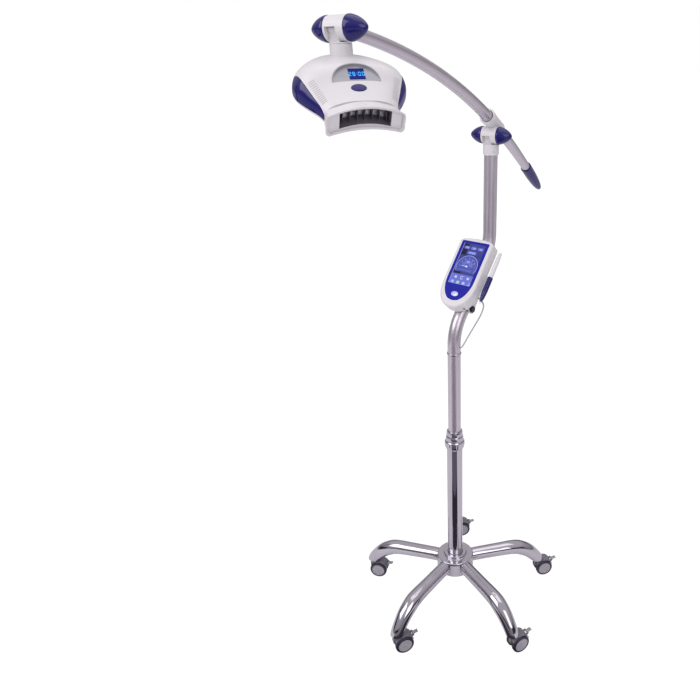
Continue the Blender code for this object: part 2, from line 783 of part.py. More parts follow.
def make_castor(i):
    number = i + 1
    x, y = polar(CASTOR_RADIUS, leg_angle(i))
    turn = CASTOR_TURNS[i] - math.pi / 2
    swivel = frame(f"castor_{number}_swivel", at=(x, y, 0), turn=(0, 0, turn))
    top = LEG_TIP_HEIGHT - GAP
    axle_at = (0, CASTOR_TRAIL, WHEEL_RADIUS)
    side_on = (math.pi / 2, 0, math.pi / 2)

    name = f"castor_body_{number}"
    clear = WHEEL_RADIUS + HOOD_GAP
    foot = WHEEL_RADIUS + math.sqrt(
        clear ** 2 - (CASTOR_TRAIL - BOSS_RADIUS) ** 2) + GAP
    boss = piece(name, rod_mesh(
        name, BOSS_RADIUS, (0, 0, foot), (0, 0, top), 14),
        "grey", swivel)
    stem = rod_mesh(f"{name}_stem", STEM_RADIUS, (0, 0, WHEEL_RADIUS * STEM_ROOT_SHARE),
                    (0, 0, top + STEM_LENGTH), 10)
    combine(boss, tool(f"{name}_stem", stem, swivel), "UNION")
    heel = -CASTOR_TRAIL - BOSS_RADIUS * WEB_BOSS_SHARE
    web = [
        (heel, (foot + top) / 2 - WHEEL_RADIUS),
        (heel, WHEEL_RADIUS * WEB_HEEL_SHARE),
        *[(WHEEL_RADIUS * ahead, WHEEL_RADIUS * up) for ahead, up in WEB_SHARES],
        polar(WHEEL_RADIUS + HOOD_GAP + HOOD_WALL / 2, HOOD_START),
        polar(WHEEL_RADIUS + HOOD_GAP + HOOD_WALL / 2, math.pi / 3),
        polar(WHEEL_RADIUS + HOOD_GAP + HOOD_WALL / 2, math.pi / 2),
    ]
    plate = as_mesh(tool(f"{name}_web", flat_data(
        name, [web], WEB_THICKNESS), swivel, axle_at, side_on))
    combine(boss, plate, "UNION")
    hood = as_mesh(tool(f"{name}_hood", flat_data(
        name, [hood_outline()], 2 * HOOD_HALF_WIDTH), swivel, axle_at, side_on))
    combine(boss, hood, "UNION")
    pin_y, pin_z = brake_place()
    ear_far = BRAKE_WIDTH / 2 + GAP + EAR_THICKNESS
    root = -EAR_RADIUS - HOOD_WALL / 2
    corner = EAR_RADIUS * EAR_CORNER_SHARE
    lug = [
        (EAR_RADIUS, 0), (corner, corner), (0, EAR_RADIUS), (root, EAR_RADIUS),
        (root, -EAR_RADIUS), (0, -EAR_RADIUS), (corner, -corner),
    ]
    tilt = HOOD_START + BRAKE_RISE
    lug = [(x * math.cos(tilt) - y * math.sin(tilt),
            x * math.sin(tilt) + y * math.cos(tilt)) for x, y in lug]
    for side in (-1, 1):
        middle = side * (ear_far - EAR_THICKNESS / 2)
        ear = as_mesh(tool(f"{name}_ear_{side}", flat_data(
            name, [lug], EAR_THICKNESS), swivel, (middle, pin_y, pin_z),
            side_on))
        combine(boss, ear, "UNION")
    for label, radius, place in (
            ("axle_hole", AXLE_RADIUS + GAP, axle_at),
            ("pin_hole", BRAKE_PIN_RADIUS + GAP, (0, pin_y, pin_z))):
        reach = ear_far + OVERRUN
        hole = rod_mesh(f"{name}_{label}", radius, (-reach, 0, 0),
                        (reach, 0, 0), 10)
        combine(boss, tool(f"{name}_{label}", hole, swivel, place))

    name = f"castor_wheels_{number}"
    turned(name, wheel_profile(), "tread", swivel, axle_at,
           (0, math.pi / 2, 0), closed=False, steps=18)

    name = f"castor_brake_{number}"
    lever = piece(name, rod_mesh(
        name, BRAKE_PIN_RADIUS, (-ear_far + GAP, 0, 0),
        (ear_far - GAP, 0, 0), 12), "light_grey", swivel, (0, pin_y, pin_z))
    tread = box_mesh(
        f"{name}_tread", (-BRAKE_WIDTH / 2, -BRAKE_PIN_RADIUS / 2, -BRAKE_THICKNESS / 2),
        (BRAKE_WIDTH / 2, BRAKE_LENGTH, BRAKE_THICKNESS / 2))
    combine(lever, tool(f"{name}_tread", tread, swivel, (0, pin_y, pin_z),
                        (BRAKE_RISE, 0, 0)), "UNION")


# Column


def make_column():
    tube_foot = HUB_BOTTOM + HUB_FLOOR + GAP
    bore = LOWER_TUBE_RADIUS - LOWER_TUBE_WALL
    turned("lower_tube", tube_profile(
        LOWER_TUBE_RADIUS, bore, tube_foot, LOWER_TUBE_TOP), "chrome")

    bush_top = LOWER_TUBE_TOP - GAP
    turned("guide_bush", tube_profile(
        bore - GAP, INNER_TUBE_RADIUS + GAP, bush_top - BUSH_LENGTH, bush_top),
        "grey")

    inner = INNER_TUBE_RADIUS + GAP
    outer = LOWER_TUBE_RADIUS + GAP
    step = LOWER_TUBE_TOP + GAP
    collar = [(COLLAR_RADIUS * r, COLLAR_TOP - COLLAR_LENGTH * z)
              for r, z in COLLAR_SHARES]
    collar += [
        (outer, COLLAR_BOTTOM),
        (outer, step),
        (inner, step),
        (inner, COLLAR_TOP),
    ]
    turned("lock_collar", collar, "chrome", steps=30)

    ring_low = RING_HEIGHT - RING_THICKNESS / 2
    ring_high = RING_HEIGHT + RING_THICKNESS / 2
    inner_bore = INNER_TUBE_RADIUS - INNER_TUBE_WALL
    turned("inner_tube", tube_profile(
        INNER_TUBE_RADIUS, inner_bore, INNER_TUBE_BOTTOM, ring_low - GAP),
        "silver")

    plug = inner_bore - GAP
    edge = RING_THICKNESS / 4
    ring = [
        (plug, ring_high + RING_PLUG),
        (plug, ring_high),
        (RING_RADIUS - edge, ring_high),
        (RING_RADIUS, ring_high - edge),
        (RING_RADIUS, ring_low + edge),
        (RING_RADIUS - edge, ring_low),
        (plug, ring_low),
        (plug, ring_low - RING_PLUG),
        (RING_BORE, ring_low - RING_PLUG),
        (RING_BORE, ring_high + RING_PLUG),
    ]
    turned("joint_ring", ring, "chrome", steps=22)


def bend_offset():
    curve = BEND_RADIUS * (1 - math.cos(BEND_LEAN))
    return 2 * curve + BEND_STRAIGHT * math.sin(BEND_LEAN)


def mast_path():
    """Centre line of the mast: up, back along a slope, and up again."""
    start = RING_HEIGHT + RING_THICKNESS / 2 + GAP
    steps = 5
    points = [Vector((0, 0, start))]
    if start + RING_PLUG < BEND_START:
        points.append(Vector((0, 0, start + RING_PLUG)))
    for i in range(steps + 1):
        a = BEND_LEAN * i / steps
        points.append(Vector((
            0, BEND_RADIUS * (1 - math.cos(a)),
            BEND_START + BEND_RADIUS * math.sin(a))))
    slope = Vector((0, math.sin(BEND_LEAN), math.cos(BEND_LEAN)))
    knee = points[-1] + slope * BEND_STRAIGHT
    centre = Vector((0, bend_offset() - BEND_RADIUS,
                     knee.z + BEND_RADIUS * math.sin(BEND_LEAN)))
    for i in range(steps + 1):
        a = BEND_LEAN * (1 - i / steps)
        points.append(Vector((
            0, centre.y + BEND_RADIUS * math.cos(a),
            centre.z - BEND_RADIUS * math.sin(a))))
    points.append(Vector((0, bend_offset(), MAST_TOP)))
    return points


def slope_middle():
    """Middle of the mast's sloping stretch."""
    rise = BEND_START + BEND_RADIUS * math.sin(BEND_LEAN)
    rise += BEND_STRAIGHT / 2 * math.cos(BEND_LEAN)
    return Vector((0, bend_offset() / 2, rise))


def make_mast():
    data = curve_data("mast_tube", mast_path(), INNER_TUBE_RADIUS, 18,
                      capped=False)
    shell_wall(piece("mast_tube", data, "silver"), INNER_TUBE_WALL)


# Controller: X to the right, Y up its face, Z out of its face


def face_frame():
    out = Vector((0, -math.cos(BEND_LEAN), math.sin(BEND_LEAN)))
    up = Vector((0, math.sin(BEND_LEAN), math.cos(BEND_LEAN)))
    middle = slope_middle() + out * FACE_OFFSET + up * FACE_RISE
    middle.x = FACE_SIDE
    return frame("controller_face", at=middle,
                 turn=(math.pi / 2 - BEND_LEAN, 0, 0))


def outline(shares, width, top, tip, inset=0.0):
    half = []
    for across, along in shares:
        reach = top if along > 0 else tip
        half.append((across * (width / 2 - inset), along * (reach - inset)))
    return mirrored(half)


def hollow_case(name, colour, parent, depth, front_at, floor_low, floor_high,
                edge):
    """Half of the case: an outline solid with a pocket cut into it."""
    middle = front_at - depth / 2
    body = as_mesh(piece(name, flat_data(name, [outline(
        CASE_SHARES, CASE_WIDTH, CASE_TOP, CASE_TIP)], depth, edge),
        colour, parent, (0, 0, middle)))
    smooth(body.data)
    pocket_depth = floor_high - floor_low
    pocket = as_mesh(tool(f"{name}_pocket", flat_data(
        f"{name}_pocket", [outline(
            CASE_SHARES, CASE_WIDTH, CASE_TOP, CASE_TIP, CASE_WALL + edge / 2)],
        pocket_depth), parent, (0, 0, (floor_low + floor_high) / 2)))
    combine(body, pocket)
    return body


def make_controller(face):
    split = -CASE_FRONT_DEPTH
    front = hollow_case(
        "front_shell", "white", face, CASE_FRONT_DEPTH, 0.0,
        split - OVERRUN, -CASE_WALL - BEZEL_THICKNESS, CASE_EDGE)
    back_top = split - GAP
    hollow_case(
        "rear_shell", "white", face, CASE_BACK_DEPTH, back_top,
        back_top - CASE_BACK_DEPTH + CASE_WALL, back_top + OVERRUN, CASE_EDGE)

    seat = outline(BEZEL_SHARES, BEZEL_WIDTH + 2 * GAP, BEZEL_TOP + GAP,
                   BEZEL_TIP + GAP)
    recess = as_mesh(tool("bezel_seat", flat_data(
        "bezel_seat", [seat], 2 * BEZEL_THICKNESS), face))
    combine(front, recess)

    mid = (SCREEN_TOP + SCREEN_BOTTOM) / 2
    high = (SCREEN_TOP - SCREEN_BOTTOM) / 2
    glass_top = 0.0
    glass_low = -SCREEN_THICKNESS
    window = box_mesh(
        "screen_window",
        (-SCREEN_WIDTH / 2 - GAP, mid - high - GAP, glass_low - CASE_WALL),
        (SCREEN_WIDTH / 2 + GAP, mid + high + GAP, OVERRUN))
    combine(front, tool("screen_window", window, face))
    badge_hole = as_mesh(tool("badge_hole", flat_data("badge_hole", [oval(
        BADGE_WIDTH + 2 * GAP, BADGE_HEIGHT + 2 * GAP)], 2 * CASE_FRONT_DEPTH),
        face, (0, BADGE_PLACE, 0)))
    combine(front, badge_hole)

    bezel = as_mesh(piece("bezel", flat_data("bezel", [outline(
        BEZEL_SHARES, BEZEL_WIDTH, BEZEL_TOP, BEZEL_TIP)],
        BEZEL_THICKNESS - GAP), "bezel_blue", face,
        (0, 0, -(BEZEL_THICKNESS - GAP) / 2)))
    combine(bezel, bpy.data.objects["screen_window"])
    combine(bezel, badge_hole)

    piece("touch_screen", box_mesh(
        "touch_screen", (-SCREEN_WIDTH / 2, SCREEN_BOTTOM, glass_low),
        (SCREEN_WIDTH / 2, SCREEN_TOP, glass_top)), "screen", face)

    board_top = min(glass_low, -CASE_WALL - BEZEL_THICKNESS) - 2 * GAP
    board_reach = CASE_WIDTH / 2 - 2 * CASE_WALL - CASE_EDGE
    piece("circuit_board", box_mesh(
        "circuit_board",
        (-board_reach, BADGE_PLACE + BADGE_HEIGHT, board_top - BOARD_THICKNESS),
        (board_reach, SCREEN_TOP, board_top)), "board", face)

    stem_low = -CASE_FRONT_DEPTH + BADGE_DEPTH
    badge = as_mesh(piece("home_button", flat_data("home_button", [oval(
        BADGE_WIDTH, BADGE_HEIGHT)], BADGE_PROUD - stem_low), "aluminium", face,
        (0, BADGE_PLACE, (BADGE_PROUD + stem_low) / 2)))
    smooth(badge.data)

    make_stylus(face)
    make_bracket(face)


def stylus_axis():
    return CASE_WIDTH / 2 + STYLUS_SIDE, -STYLUS_DEPTH


def make_stylus(face):
    x, z = stylus_axis()
    bore = STYLUS_RADIUS + GAP
    outer = bore + HOLDER_WALL
    block = outer * HOLDER_BLOCK_SHARE
    foot = CASE_WIDTH / 2 + GAP
    half = HOLDER_LENGTH / 2
    flat = (-math.pi / 2, 0, 0)
    holder = piece("stylus_holder", box_mesh(
        "stylus_holder", (foot, HOLDER_PLACE - half, z - block),
        (x, HOLDER_PLACE + half, z + block)), "white", face)
    sleeve = rod_mesh("holder_sleeve", outer, (x, HOLDER_PLACE - half, z),
                      (x, HOLDER_PLACE + half, z), 20)
    combine(holder, tool("holder_sleeve", sleeve, face), "UNION")
    hole = rod_mesh("holder_bore", bore, (x, HOLDER_PLACE - half - OVERRUN, z),
                    (x, HOLDER_PLACE + half + OVERRUN, z), 20)
    combine(holder, tool("holder_bore", hole, face))

    length = STYLUS_TOP - STYLUS_TIP
    grip_top = HOLDER_PLACE - half - GAP
    profile = [(0, STYLUS_TOP)]
    profile += [(STYLUS_RADIUS * r, STYLUS_TOP - length * z)
                for r, z in STYLUS_HEAD_SHARES]
    profile.append((STYLUS_RADIUS, grip_top))
    profile += [(STYLUS_RADIUS * r, grip_top - length * z)
                for r, z in STYLUS_GRIP_SHARES]
    point = STYLUS_TIP + length * STYLUS_POINT_SHARE
    profile += [(STYLUS_RADIUS * STYLUS_TIP_SHARE, point), (0, STYLUS_TIP)]
    turned("stylus", profile, "blue", face, (x, 0, z), flat, closed=False,
           steps=20)


def make_bracket(face):
    tube_at = -FACE_OFFSET
    case_back = -CASE_FRONT_DEPTH - GAP - CASE_BACK_DEPTH
    rear = tube_at - INNER_TUBE_RADIUS - BRACKET_BACK
    x = -FACE_SIDE
    block = box_mesh(
        "mast_bracket", (x - BRACKET_HALF_WIDTH, BRACKET_BOTTOM, rear),
        (x + BRACKET_HALF_WIDTH, BRACKET_TOP, case_back - GAP))
    clamp = piece("mast_bracket", block, "white", face)
    bore = rod_mesh(
        "bracket_bore", INNER_TUBE_RADIUS + GAP,
        (x, BRACKET_BOTTOM - OVERRUN, tube_at),
        (x, BRACKET_TOP + OVERRUN, tube_at), 32)
    combine(clamp, tool("bracket_bore", bore, face))
    outer = x + BRACKET_HALF_WIDTH
    screw_end = x + INNER_TUBE_RADIUS + 2 * GAP
    hole = rod_mesh("clamp_screw_hole", CLAMP_SCREW_RADIUS + GAP,
                    (x, CLAMP_KNOB_PLACE, tube_at),
                    (outer + OVERRUN, CLAMP_KNOB_PLACE, tube_at), 16)
    combine(clamp, tool("clamp_screw_hole", hole, face))

    head = outer + GAP
    profile = [
        (0, head + CLAMP_KNOB_LENGTH),
        (CLAMP_KNOB_RADIUS - CLAMP_KNOB_EDGE, head + CLAMP_KNOB_LENGTH),
        (CLAMP_KNOB_RADIUS, head + CLAMP_KNOB_LENGTH - CLAMP_KNOB_EDGE),
        (CLAMP_KNOB_RADIUS, head),
        (CLAMP_SCREW_RADIUS, head),
        (CLAMP_SCREW_RADIUS, screw_end),
        (0, screw_end),
    ]
    turned("bracket_knob", profile, "dark", face,
           (0, CLAMP_KNOB_PLACE, tube_at), (0, math.pi / 2, 0), closed=False,
           steps=16)


def make_cable():
    route = [(x, y, RING_HEIGHT + rise) for x, y, rise in CABLE_ROUTE]
    points = smooth_path(route, 2)
    cord = as_mesh(piece("signal_cable", curve_data(
        "signal_cable", points, CABLE_RADIUS, 8), "cable"))
    smooth(cord.data)


# Pivots


def knob_profile(bolt_end=None):
    """A pointed cap about Z, its base at 0, with a bolt or a blind hole."""
    cap = [(KNOB_RADIUS * r, KNOB_LENGTH * z) for r, z in KNOB_SHARES]
    if bolt_end is not None:
        return cap + [(PIVOT_BOLT_RADIUS, 0), (PIVOT_BOLT_RADIUS, bolt_end),
                      (0, bolt_end)]
    hole = PIVOT_BOLT_RADIUS + GAP
    return cap + [(hole, 0), (hole, KNOB_BLIND), (0, KNOB_BLIND)]


def make_knobs(place, parent, steps=20):
    """The pair of caps that closes a pivot. The right one carries the bolt."""
    base = BARREL_LENGTH / 2 + GAP
    bolt_end = -(BARREL_LENGTH + 2 * GAP) - KNOB_BLIND + 2 * GAP
    turned(f"{place}_knob_right", knob_profile(bolt_end), "blue", parent,
           (base, 0, 0), (0, math.pi / 2, 0), closed=False, steps=steps)
    turned(f"{place}_knob_left", knob_profile(), "blue", parent,
           (-base, 0, 0), (0, -math.pi / 2, 0), closed=False, steps=steps)


def barrel_mesh(name):
    half = BARREL_LENGTH / 2
    return rod_mesh(name, BARREL_RADIUS, (-half, 0, 0), (half, 0, 0), 32)


def cut_barrel(obj, name, parent, turn):
    """Bolt hole, and the slot that leaves the lower half to the tongue."""
    half = BARREL_LENGTH / 2 + OVERRUN
    hole = rod_mesh(f"{name}_bolt_hole", PIVOT_BOLT_RADIUS + GAP,
                    (-half, 0, 0), (half, 0, 0), 16)
    combine(obj, tool(f"{name}_bolt_hole", hole, parent))
    low = SLOT_SIDE - SLOT_WIDTH / 2
    high = SLOT_SIDE + SLOT_WIDTH / 2
    nose = rod_mesh(f"{name}_slot_nose", TONGUE_RADIUS + 2 * GAP, (low, 0, 0),
                    (high, 0, 0), 32)
    combine(obj, tool(f"{name}_slot_nose", nose, parent))
    deep = BARREL_RADIUS + OVERRUN
    mouth = box_mesh(f"{name}_slot_mouth", (low, -deep, -deep),
                     (high, deep, 0))
    combine(obj, tool(f"{name}_slot_mouth", mouth, parent, turn=turn))


def add_tongue(obj, name, parent, at, foot):
    """The flat tongue that turns on the bolt, down to its post."""
    low = SLOT_SIDE - SLOT_WIDTH / 2 + GAP
    high = SLOT_SIDE + SLOT_WIDTH / 2 - GAP
    nose = rod_mesh(f"{name}_nose", TONGUE_RADIUS, (low, 0, 0), (high, 0, 0), 32)
    combine(obj, tool(f"{name}_nose", nose, parent, at), "UNION")
    body = box_mesh(f"{name}_body", (low, -TONGUE_HALF, -foot),
                    (high, TONGUE_HALF, 0))
    combine(obj, tool(f"{name}_body", body, parent, at), "UNION")
    hole = rod_mesh(f"{name}_bolt_hole", PIVOT_BOLT_RADIUS + GAP,
                    (low - OVERRUN, 0, 0), (high + OVERRUN, 0, 0), 16)
    combine(obj, tool(f"{name}_bolt_hole", hole, parent, at))


def make_mast_joint(pivot, clamp_frame):
    post_top = -BARREL_RADIUS - GAP
    post_bottom = -POST_LENGTH
    bore = INNER_TUBE_RADIUS + GAP
    bore_top = MAST_TOP + GAP - PIVOT_HEIGHT
    profile = [
        (0, post_top),
        (POST_RADIUS - POST_EDGE, post_top),
        (POST_RADIUS, post_top - POST_EDGE),
        (POST_RADIUS, post_bottom + POST_EDGE),
        (POST_RADIUS - POST_EDGE, post_bottom),
        (bore, post_bottom),
        (bore, bore_top),
        (0, bore_top),
    ]
    post = turned("mast_collar", profile, "white", pivot, closed=False,
                  steps=32)
    add_tongue(post, "mast_tongue", pivot, (0, 0, 0),
               -post_top + POST_EDGE)

    clamp = piece("arm_clamp", barrel_mesh("arm_clamp"), "white", pivot)
    outer = ARM_RADIUS + SLEEVE_PLAY + SLEEVE_WALL
    half = SLEEVE_LENGTH / 2
    sleeve = stacked_mesh("clamp_sleeve", [
        (outer + SLEEVE_FLARE, -half - SLEEVE_LEAD), (outer, -half * SLEEVE_NECK_SHARE),
        (outer, half - SLEEVE_WALL), (outer - SLEEVE_WALL / 2, half)])
    combine(clamp, tool("clamp_sleeve", sleeve, clamp_frame,
                        turn=(-math.pi / 2, 0, 0)), "UNION")
    bore_rod = rod_mesh("clamp_bore", ARM_RADIUS + SLEEVE_PLAY,
                        (0, -half - SLEEVE_LEAD - OVERRUN, 0), (0, half + OVERRUN, 0), 26)
    combine(clamp, tool("clamp_bore", bore_rod, clamp_frame))
    cut_barrel(clamp, "clamp", pivot, (0, 0, 0))
    make_knobs("mast", pivot)


# Arm: the sleeve's middle is the origin, -Y towards the head, -Z the sag


def arm_point(reach):
    radius = ARM_BEND_RADIUS if reach > 0 else ARM_TAIL_BEND
    turn = reach / radius
    return Vector((0, -radius * math.sin(turn),
                   -radius * (1 - math.cos(turn))))


def make_arm(roll):
    start = ARM_REACH - NECK_STUB - 2 * GAP
    steps = 9
    first, last = start - SPIGOT_LENGTH, ARM_TIP_CUP - ARM_TAIL
    reaches = [start, start - SPIGOT_LENGTH / 2]
    reaches += [first - (first - last) * i / steps for i in range(steps + 1)]
    reaches.append(-ARM_TAIL)
    points, sizes = [], []
    for reach in reaches:
        points.append(arm_point(reach))
        if reach > 0:
            size = ARM_RADIUS + (ARM_HEAD_RADIUS - ARM_RADIUS) * reach / start
        else:
            size = ARM_RADIUS - (ARM_RADIUS - ARM_TAIL_RADIUS) * -reach / ARM_TAIL
        sizes.append(size / ARM_RADIUS)
    data = curve_data("arm_tube", points, ARM_RADIUS, 16, sizes, capped=False)
    shell_wall(piece("arm_tube", data, "silver", roll), ARM_WALL)

    end = arm_point(-ARM_TAIL)
    turn = ARM_TAIL / ARM_TAIL_BEND
    bore = ARM_TAIL_RADIUS + 2 * GAP
    profile = [
        (0, -GAP),
        (bore, -GAP),
        (bore, ARM_TIP_CUP),
        (ARM_TIP_RADIUS, ARM_TIP_CUP),
    ]
    profile += [(ARM_TIP_RADIUS * r, -ARM_TIP_LENGTH * z)
                for r, z in ARM_TIP_SHARES]
    profile.append((0, -ARM_TIP_LENGTH))
    turned("arm_tip", profile, "blue", roll, end,
           (math.pi / 2 - turn, 0, 0), closed=False, steps=24)


def make_head_joint(joint, neck):
    barrel = piece("head_barrel", barrel_mesh("head_barrel"), "white", joint)
    stub = rod_mesh("barrel_stub", ARM_HEAD_RADIUS, (0, 0, 0),
                    (0, NECK_STUB, 0), 24)
    combine(barrel, tool("barrel_stub", stub, joint), "UNION")
    spigot = rod_mesh(
        "barrel_spigot", ARM_HEAD_RADIUS - ARM_WALL - SPIGOT_PLAY, (0, 0, 0),
        (0, NECK_STUB + SPIGOT_LENGTH, 0), 20)
    combine(barrel, tool("barrel_spigot", spigot, joint), "UNION")
    cut_barrel(barrel, "barrel", joint, (0, 0, 0))
    make_knobs("head", joint)

    seam = -NECK_SEAM
    profile = [
        (0, -NECK_TOP),
        (NECK_RADIUS - POST_EDGE, -NECK_TOP),
        (NECK_RADIUS, -NECK_TOP - POST_EDGE),
        (NECK_RADIUS, seam),
        (SWIVEL_PIN_RADIUS, seam),
        (SWIVEL_PIN_RADIUS, seam - SWIVEL_PIN_LENGTH),
        (0, seam - SWIVEL_PIN_LENGTH),
    ]
    yoke = turned("neck_yoke", profile, "white", neck, closed=False, steps=32)
    add_tongue(yoke, "neck_tongue", neck, (0, 0, 0), NECK_TOP + POST_EDGE)


# Head: the origin is where the neck meets the top, -Y towards the mouth


def head_length():
    return HEAD_BACK + HEAD_FRONT


def read_shares(table, share):
    """Reads a table of shares, in straight steps between its rows."""
    for (low, start), (high, stop) in zip(table, table[1:]):
        if share <= high:
            return start + (stop - start) * (share - low) / (high - low)
    return table[-1][1]


def head_outline():
    """Half outline from back to mouth, in even steps along its edge."""
    path = smooth_path([(s, h, 0) for s, h in HEAD_SHARES], 6)
    lengths = [0.0]
    for start, stop in zip(path, path[1:]):
        lengths.append(lengths[-1] + (stop - start).length)
    steps = HEAD_STEPS // 2
    made = []
    for k in range(steps + 1):
        target = lengths[-1] * k / steps
        j = max(1, next(i for i in range(len(path))
                        if lengths[i] >= target - WELD))
        part = (target - lengths[j - 1]) / (lengths[j] - lengths[j - 1])
        spot = path[j - 1].lerp(path[j], part)
        made.append((max(spot.y, 0.0), min(max(spot.x, 0.0), 1.0)))
    return made


def head_height(share):
    """Height of the crown above the split, by share of the length."""
    return HEAD_HEIGHT * read_shares(CROWN_SHARES, share)


def head_point(half, share, side, rise, inset, height_of):
    """A point of the shell: rise 0 at the split, 1 at the spine."""
    turn = rise * math.pi / 2
    level = max(math.cos(turn), 0.0) ** (2 / HEAD_POWER)
    up = math.sin(turn) ** (2 / HEAD_POWER)
    spine = max(share, HEAD_SPINE_START)
    along = share + (spine - share) * (1 - level)
    back = inset * max(HEAD_SPINE_START - along, 0) / HEAD_SPINE_START
    return Vector((
        side * half * level * (HEAD_WIDTH / 2 - inset),
        HEAD_BACK - back - along * head_length(),
        (height_of(along) - inset) * up))


def panel_edge(share):
    """How far up the side the coloured panel reaches at this share."""
    if share <= PANEL_START:
        return 0.0
    return read_shares(PANEL_SHARES, share)


def grid_shell(columns, top_rim):
    """A skin from columns of (outer, inner) points, closed at its rims."""
    bm = bmesh.new()
    outer = [[bm.verts.new(p) for p in column[0]] for column in columns]
    inner = [[bm.verts.new(p) for p in column[1]] for column in columns]
    rows = len(outer[0])
    for i in range(len(columns) - 1):
        for k in range(rows - 1):
            bm.faces.new((outer[i][k], outer[i + 1][k],
                          outer[i + 1][k + 1], outer[i][k + 1]))
            bm.faces.new((inner[i][k], inner[i][k + 1],
                          inner[i + 1][k + 1], inner[i + 1][k]))
        bm.faces.new((outer[i][0], inner[i][0],
                      inner[i + 1][0], outer[i + 1][0]))
        if top_rim:
            bm.faces.new((outer[i][-1], outer[i + 1][-1],
                          inner[i + 1][-1], inner[i][-1]))
    for i in (0, len(columns) - 1):
        for k in range(rows - 1):
            bm.faces.new((outer[i][k], outer[i][k + 1],
                          inner[i][k + 1], inner[i][k]))
    return bm


def finish_grid(bm, name):
    bmesh.ops.remove_doubles(bm, verts=bm.verts, dist=WELD)
    bmesh.ops.dissolve_degenerate(bm, edges=bm.edges, dist=WELD)
    bmesh.ops.recalc_face_normals(bm, faces=bm.faces)
    mesh = bpy.data.meshes.new(name)
    bm.to_mesh(mesh)
    bm.free()
    smooth(mesh)
    return mesh


def head_ring(keep):
    """Places round the outline: left mouth corner, back, right corner."""
    half = head_outline()
    ring = [(w, s, -1) for w, s in reversed(half)]
    ring += [(w, s, 1) for w, s in half[1:]]
    return [place for place in ring if keep(place[1], place[2])]


def head_columns(low_edge, high_edge, height_of, rows, keep):
    columns = []
    for width, share, side in head_ring(keep):
        low, high = low_edge(share), high_edge(share)
        rises = [low + (high - low) * k / rows for k in range(rows + 1)]
        columns.append([
            [head_point(width, share, side, r, inset, height_of)
             for r in rises] for inset in (0.0, HEAD_WALL)])
    return columns


def make_upper_shell(head, low):
    """The domed top, cut away at the sides for the coloured panels."""
    columns = head_columns(
        panel_edge, lambda s: 1.0, head_height, HEAD_ROWS,
        lambda s, side: True)
    mesh = finish_grid(grid_shell(columns, False), "head_upper_shell")
    return piece("head_upper_shell", mesh, "white", head, low)


def head_solid(head, low):
    """The whole dome as one solid, to trim pieces flush with its skin."""
    columns = [column[0] for column in head_columns(
        lambda s: 0.0, lambda s: 1.0, head_height, 2 * HEAD_ROWS,
        lambda s, side: True)]
    bm = bmesh.new()
    grid = [[bm.verts.new(p) for p in column] for column in columns]
    for i in range(len(grid) - 1):
        for k in range(len(grid[0]) - 1):
            bm.faces.new((grid[i][k], grid[i + 1][k],
                          grid[i + 1][k + 1], grid[i][k + 1]))
    bmesh.ops.remove_doubles(bm, verts=bm.verts, dist=WELD)
    rims = [e for e in bm.edges if e.is_boundary]
    bmesh.ops.contextual_create(bm, geom=rims)
    return tool("head_solid", finish_grid(bm, "head_solid"), head, low)


def make_side_panels(head, low):
    """Two coloured side panels under the raised edge of the top."""
    gap = 2 * GAP / head_height(PANEL_SHARES[4][0])
    both = bmesh.new()
    for wanted in (-1, 1):
        columns = head_columns(
            lambda s: 0.0, lambda s: max(panel_edge(s) - 2 * gap, gap),
            head_height, 4,
            lambda s, side: side == wanted and panel_edge(s) > 4 * gap)
        part = finish_grid(grid_shell(columns, True), "side_panel")
        both.from_mesh(part)
    panels = piece("side_panels", finish_grid(both, "side_panels"), "blue",
                   head, low)
    reach = HEAD_WIDTH / 2 - HEAD_WALL / 2
    strap = box_mesh(
        "panel_strap", (-reach, STRAP_PLACE - STRAP_WIDTH / 2, STRAP_RISE),
        (reach, STRAP_PLACE + STRAP_WIDTH / 2, STRAP_RISE + STRAP_THICKNESS))
    combine(panels, tool("panel_strap", strap, head, low), "UNION")


def arch_lift(point, share):
    """Raises the middle of the underside near the mouth."""
    near = min(max((share - HEAD_SPINE_START) / (1 - HEAD_SPINE_START), 0), 1)
    across = point.x / MOUTH_BACK_HALF
    return MOUTH_ARCH * near ** 2 * max(1 - across ** 2, 0)


def make_lower_shell(head, low):
    """The shallow tray under the split line."""
    columns = head_columns(
        lambda s: 0.0, lambda s: 1.0, lambda s: HEAD_DEPTH, 5,
        lambda s, side: True)
    for column in columns:
        for row in column:
            for point in row:
                share = (HEAD_BACK - point.y) / head_length()
                lift = arch_lift(point, share) * point.z / HEAD_DEPTH
                point.z = lift - GAP - point.z
    mesh = finish_grid(grid_shell(columns, False), "head_lower_shell")
    piece("head_lower_shell", mesh, "white", head, low)


def crescent(half, side, rise, floor, arch, corner):
    """Crescent loop in (across, up from the split), clockwise from left."""
    steps = 10
    spans = [-1 + 2 * i / steps for i in range(steps + 1)]
    loop = [(half * t, side + rise * (1 - t * t)) for t in spans]
    loop.append((half, corner - floor))
    inner = half - corner
    bends = [math.pi / 2 * i / 3 for i in range(1, 3)]
    loop += [(inner + corner * math.cos(a), corner * (1 - math.sin(a)) - floor)
             for a in bends]
    loop += [(-inner * t, arch * (1 - t * t) - floor) for t in spans]
    loop += [(-inner - corner * math.cos(a),
              corner * (1 - math.sin(a)) - floor) for a in reversed(bends)]
    loop.append((-half, corner - floor))
    return loop


def prism_mesh(name, front, front_y, back, back_y):
    """A solid between two outlines that face along Y."""

    def build(bm):
        near = [bm.verts.new((x, front_y, z)) for x, z in front]
        far = [bm.verts.new((x, back_y, z)) for x, z in back]
        bm.faces.new(near)
        bm.faces.new(list(reversed(far)))
        for i in range(len(near)):
            j = (i + 1) % len(near)
            bm.faces.new((near[i], far[i], far[j], near[j]))
        bmesh.ops.recalc_face_normals(bm, faces=bm.faces)

    return mesh_from(build, name)


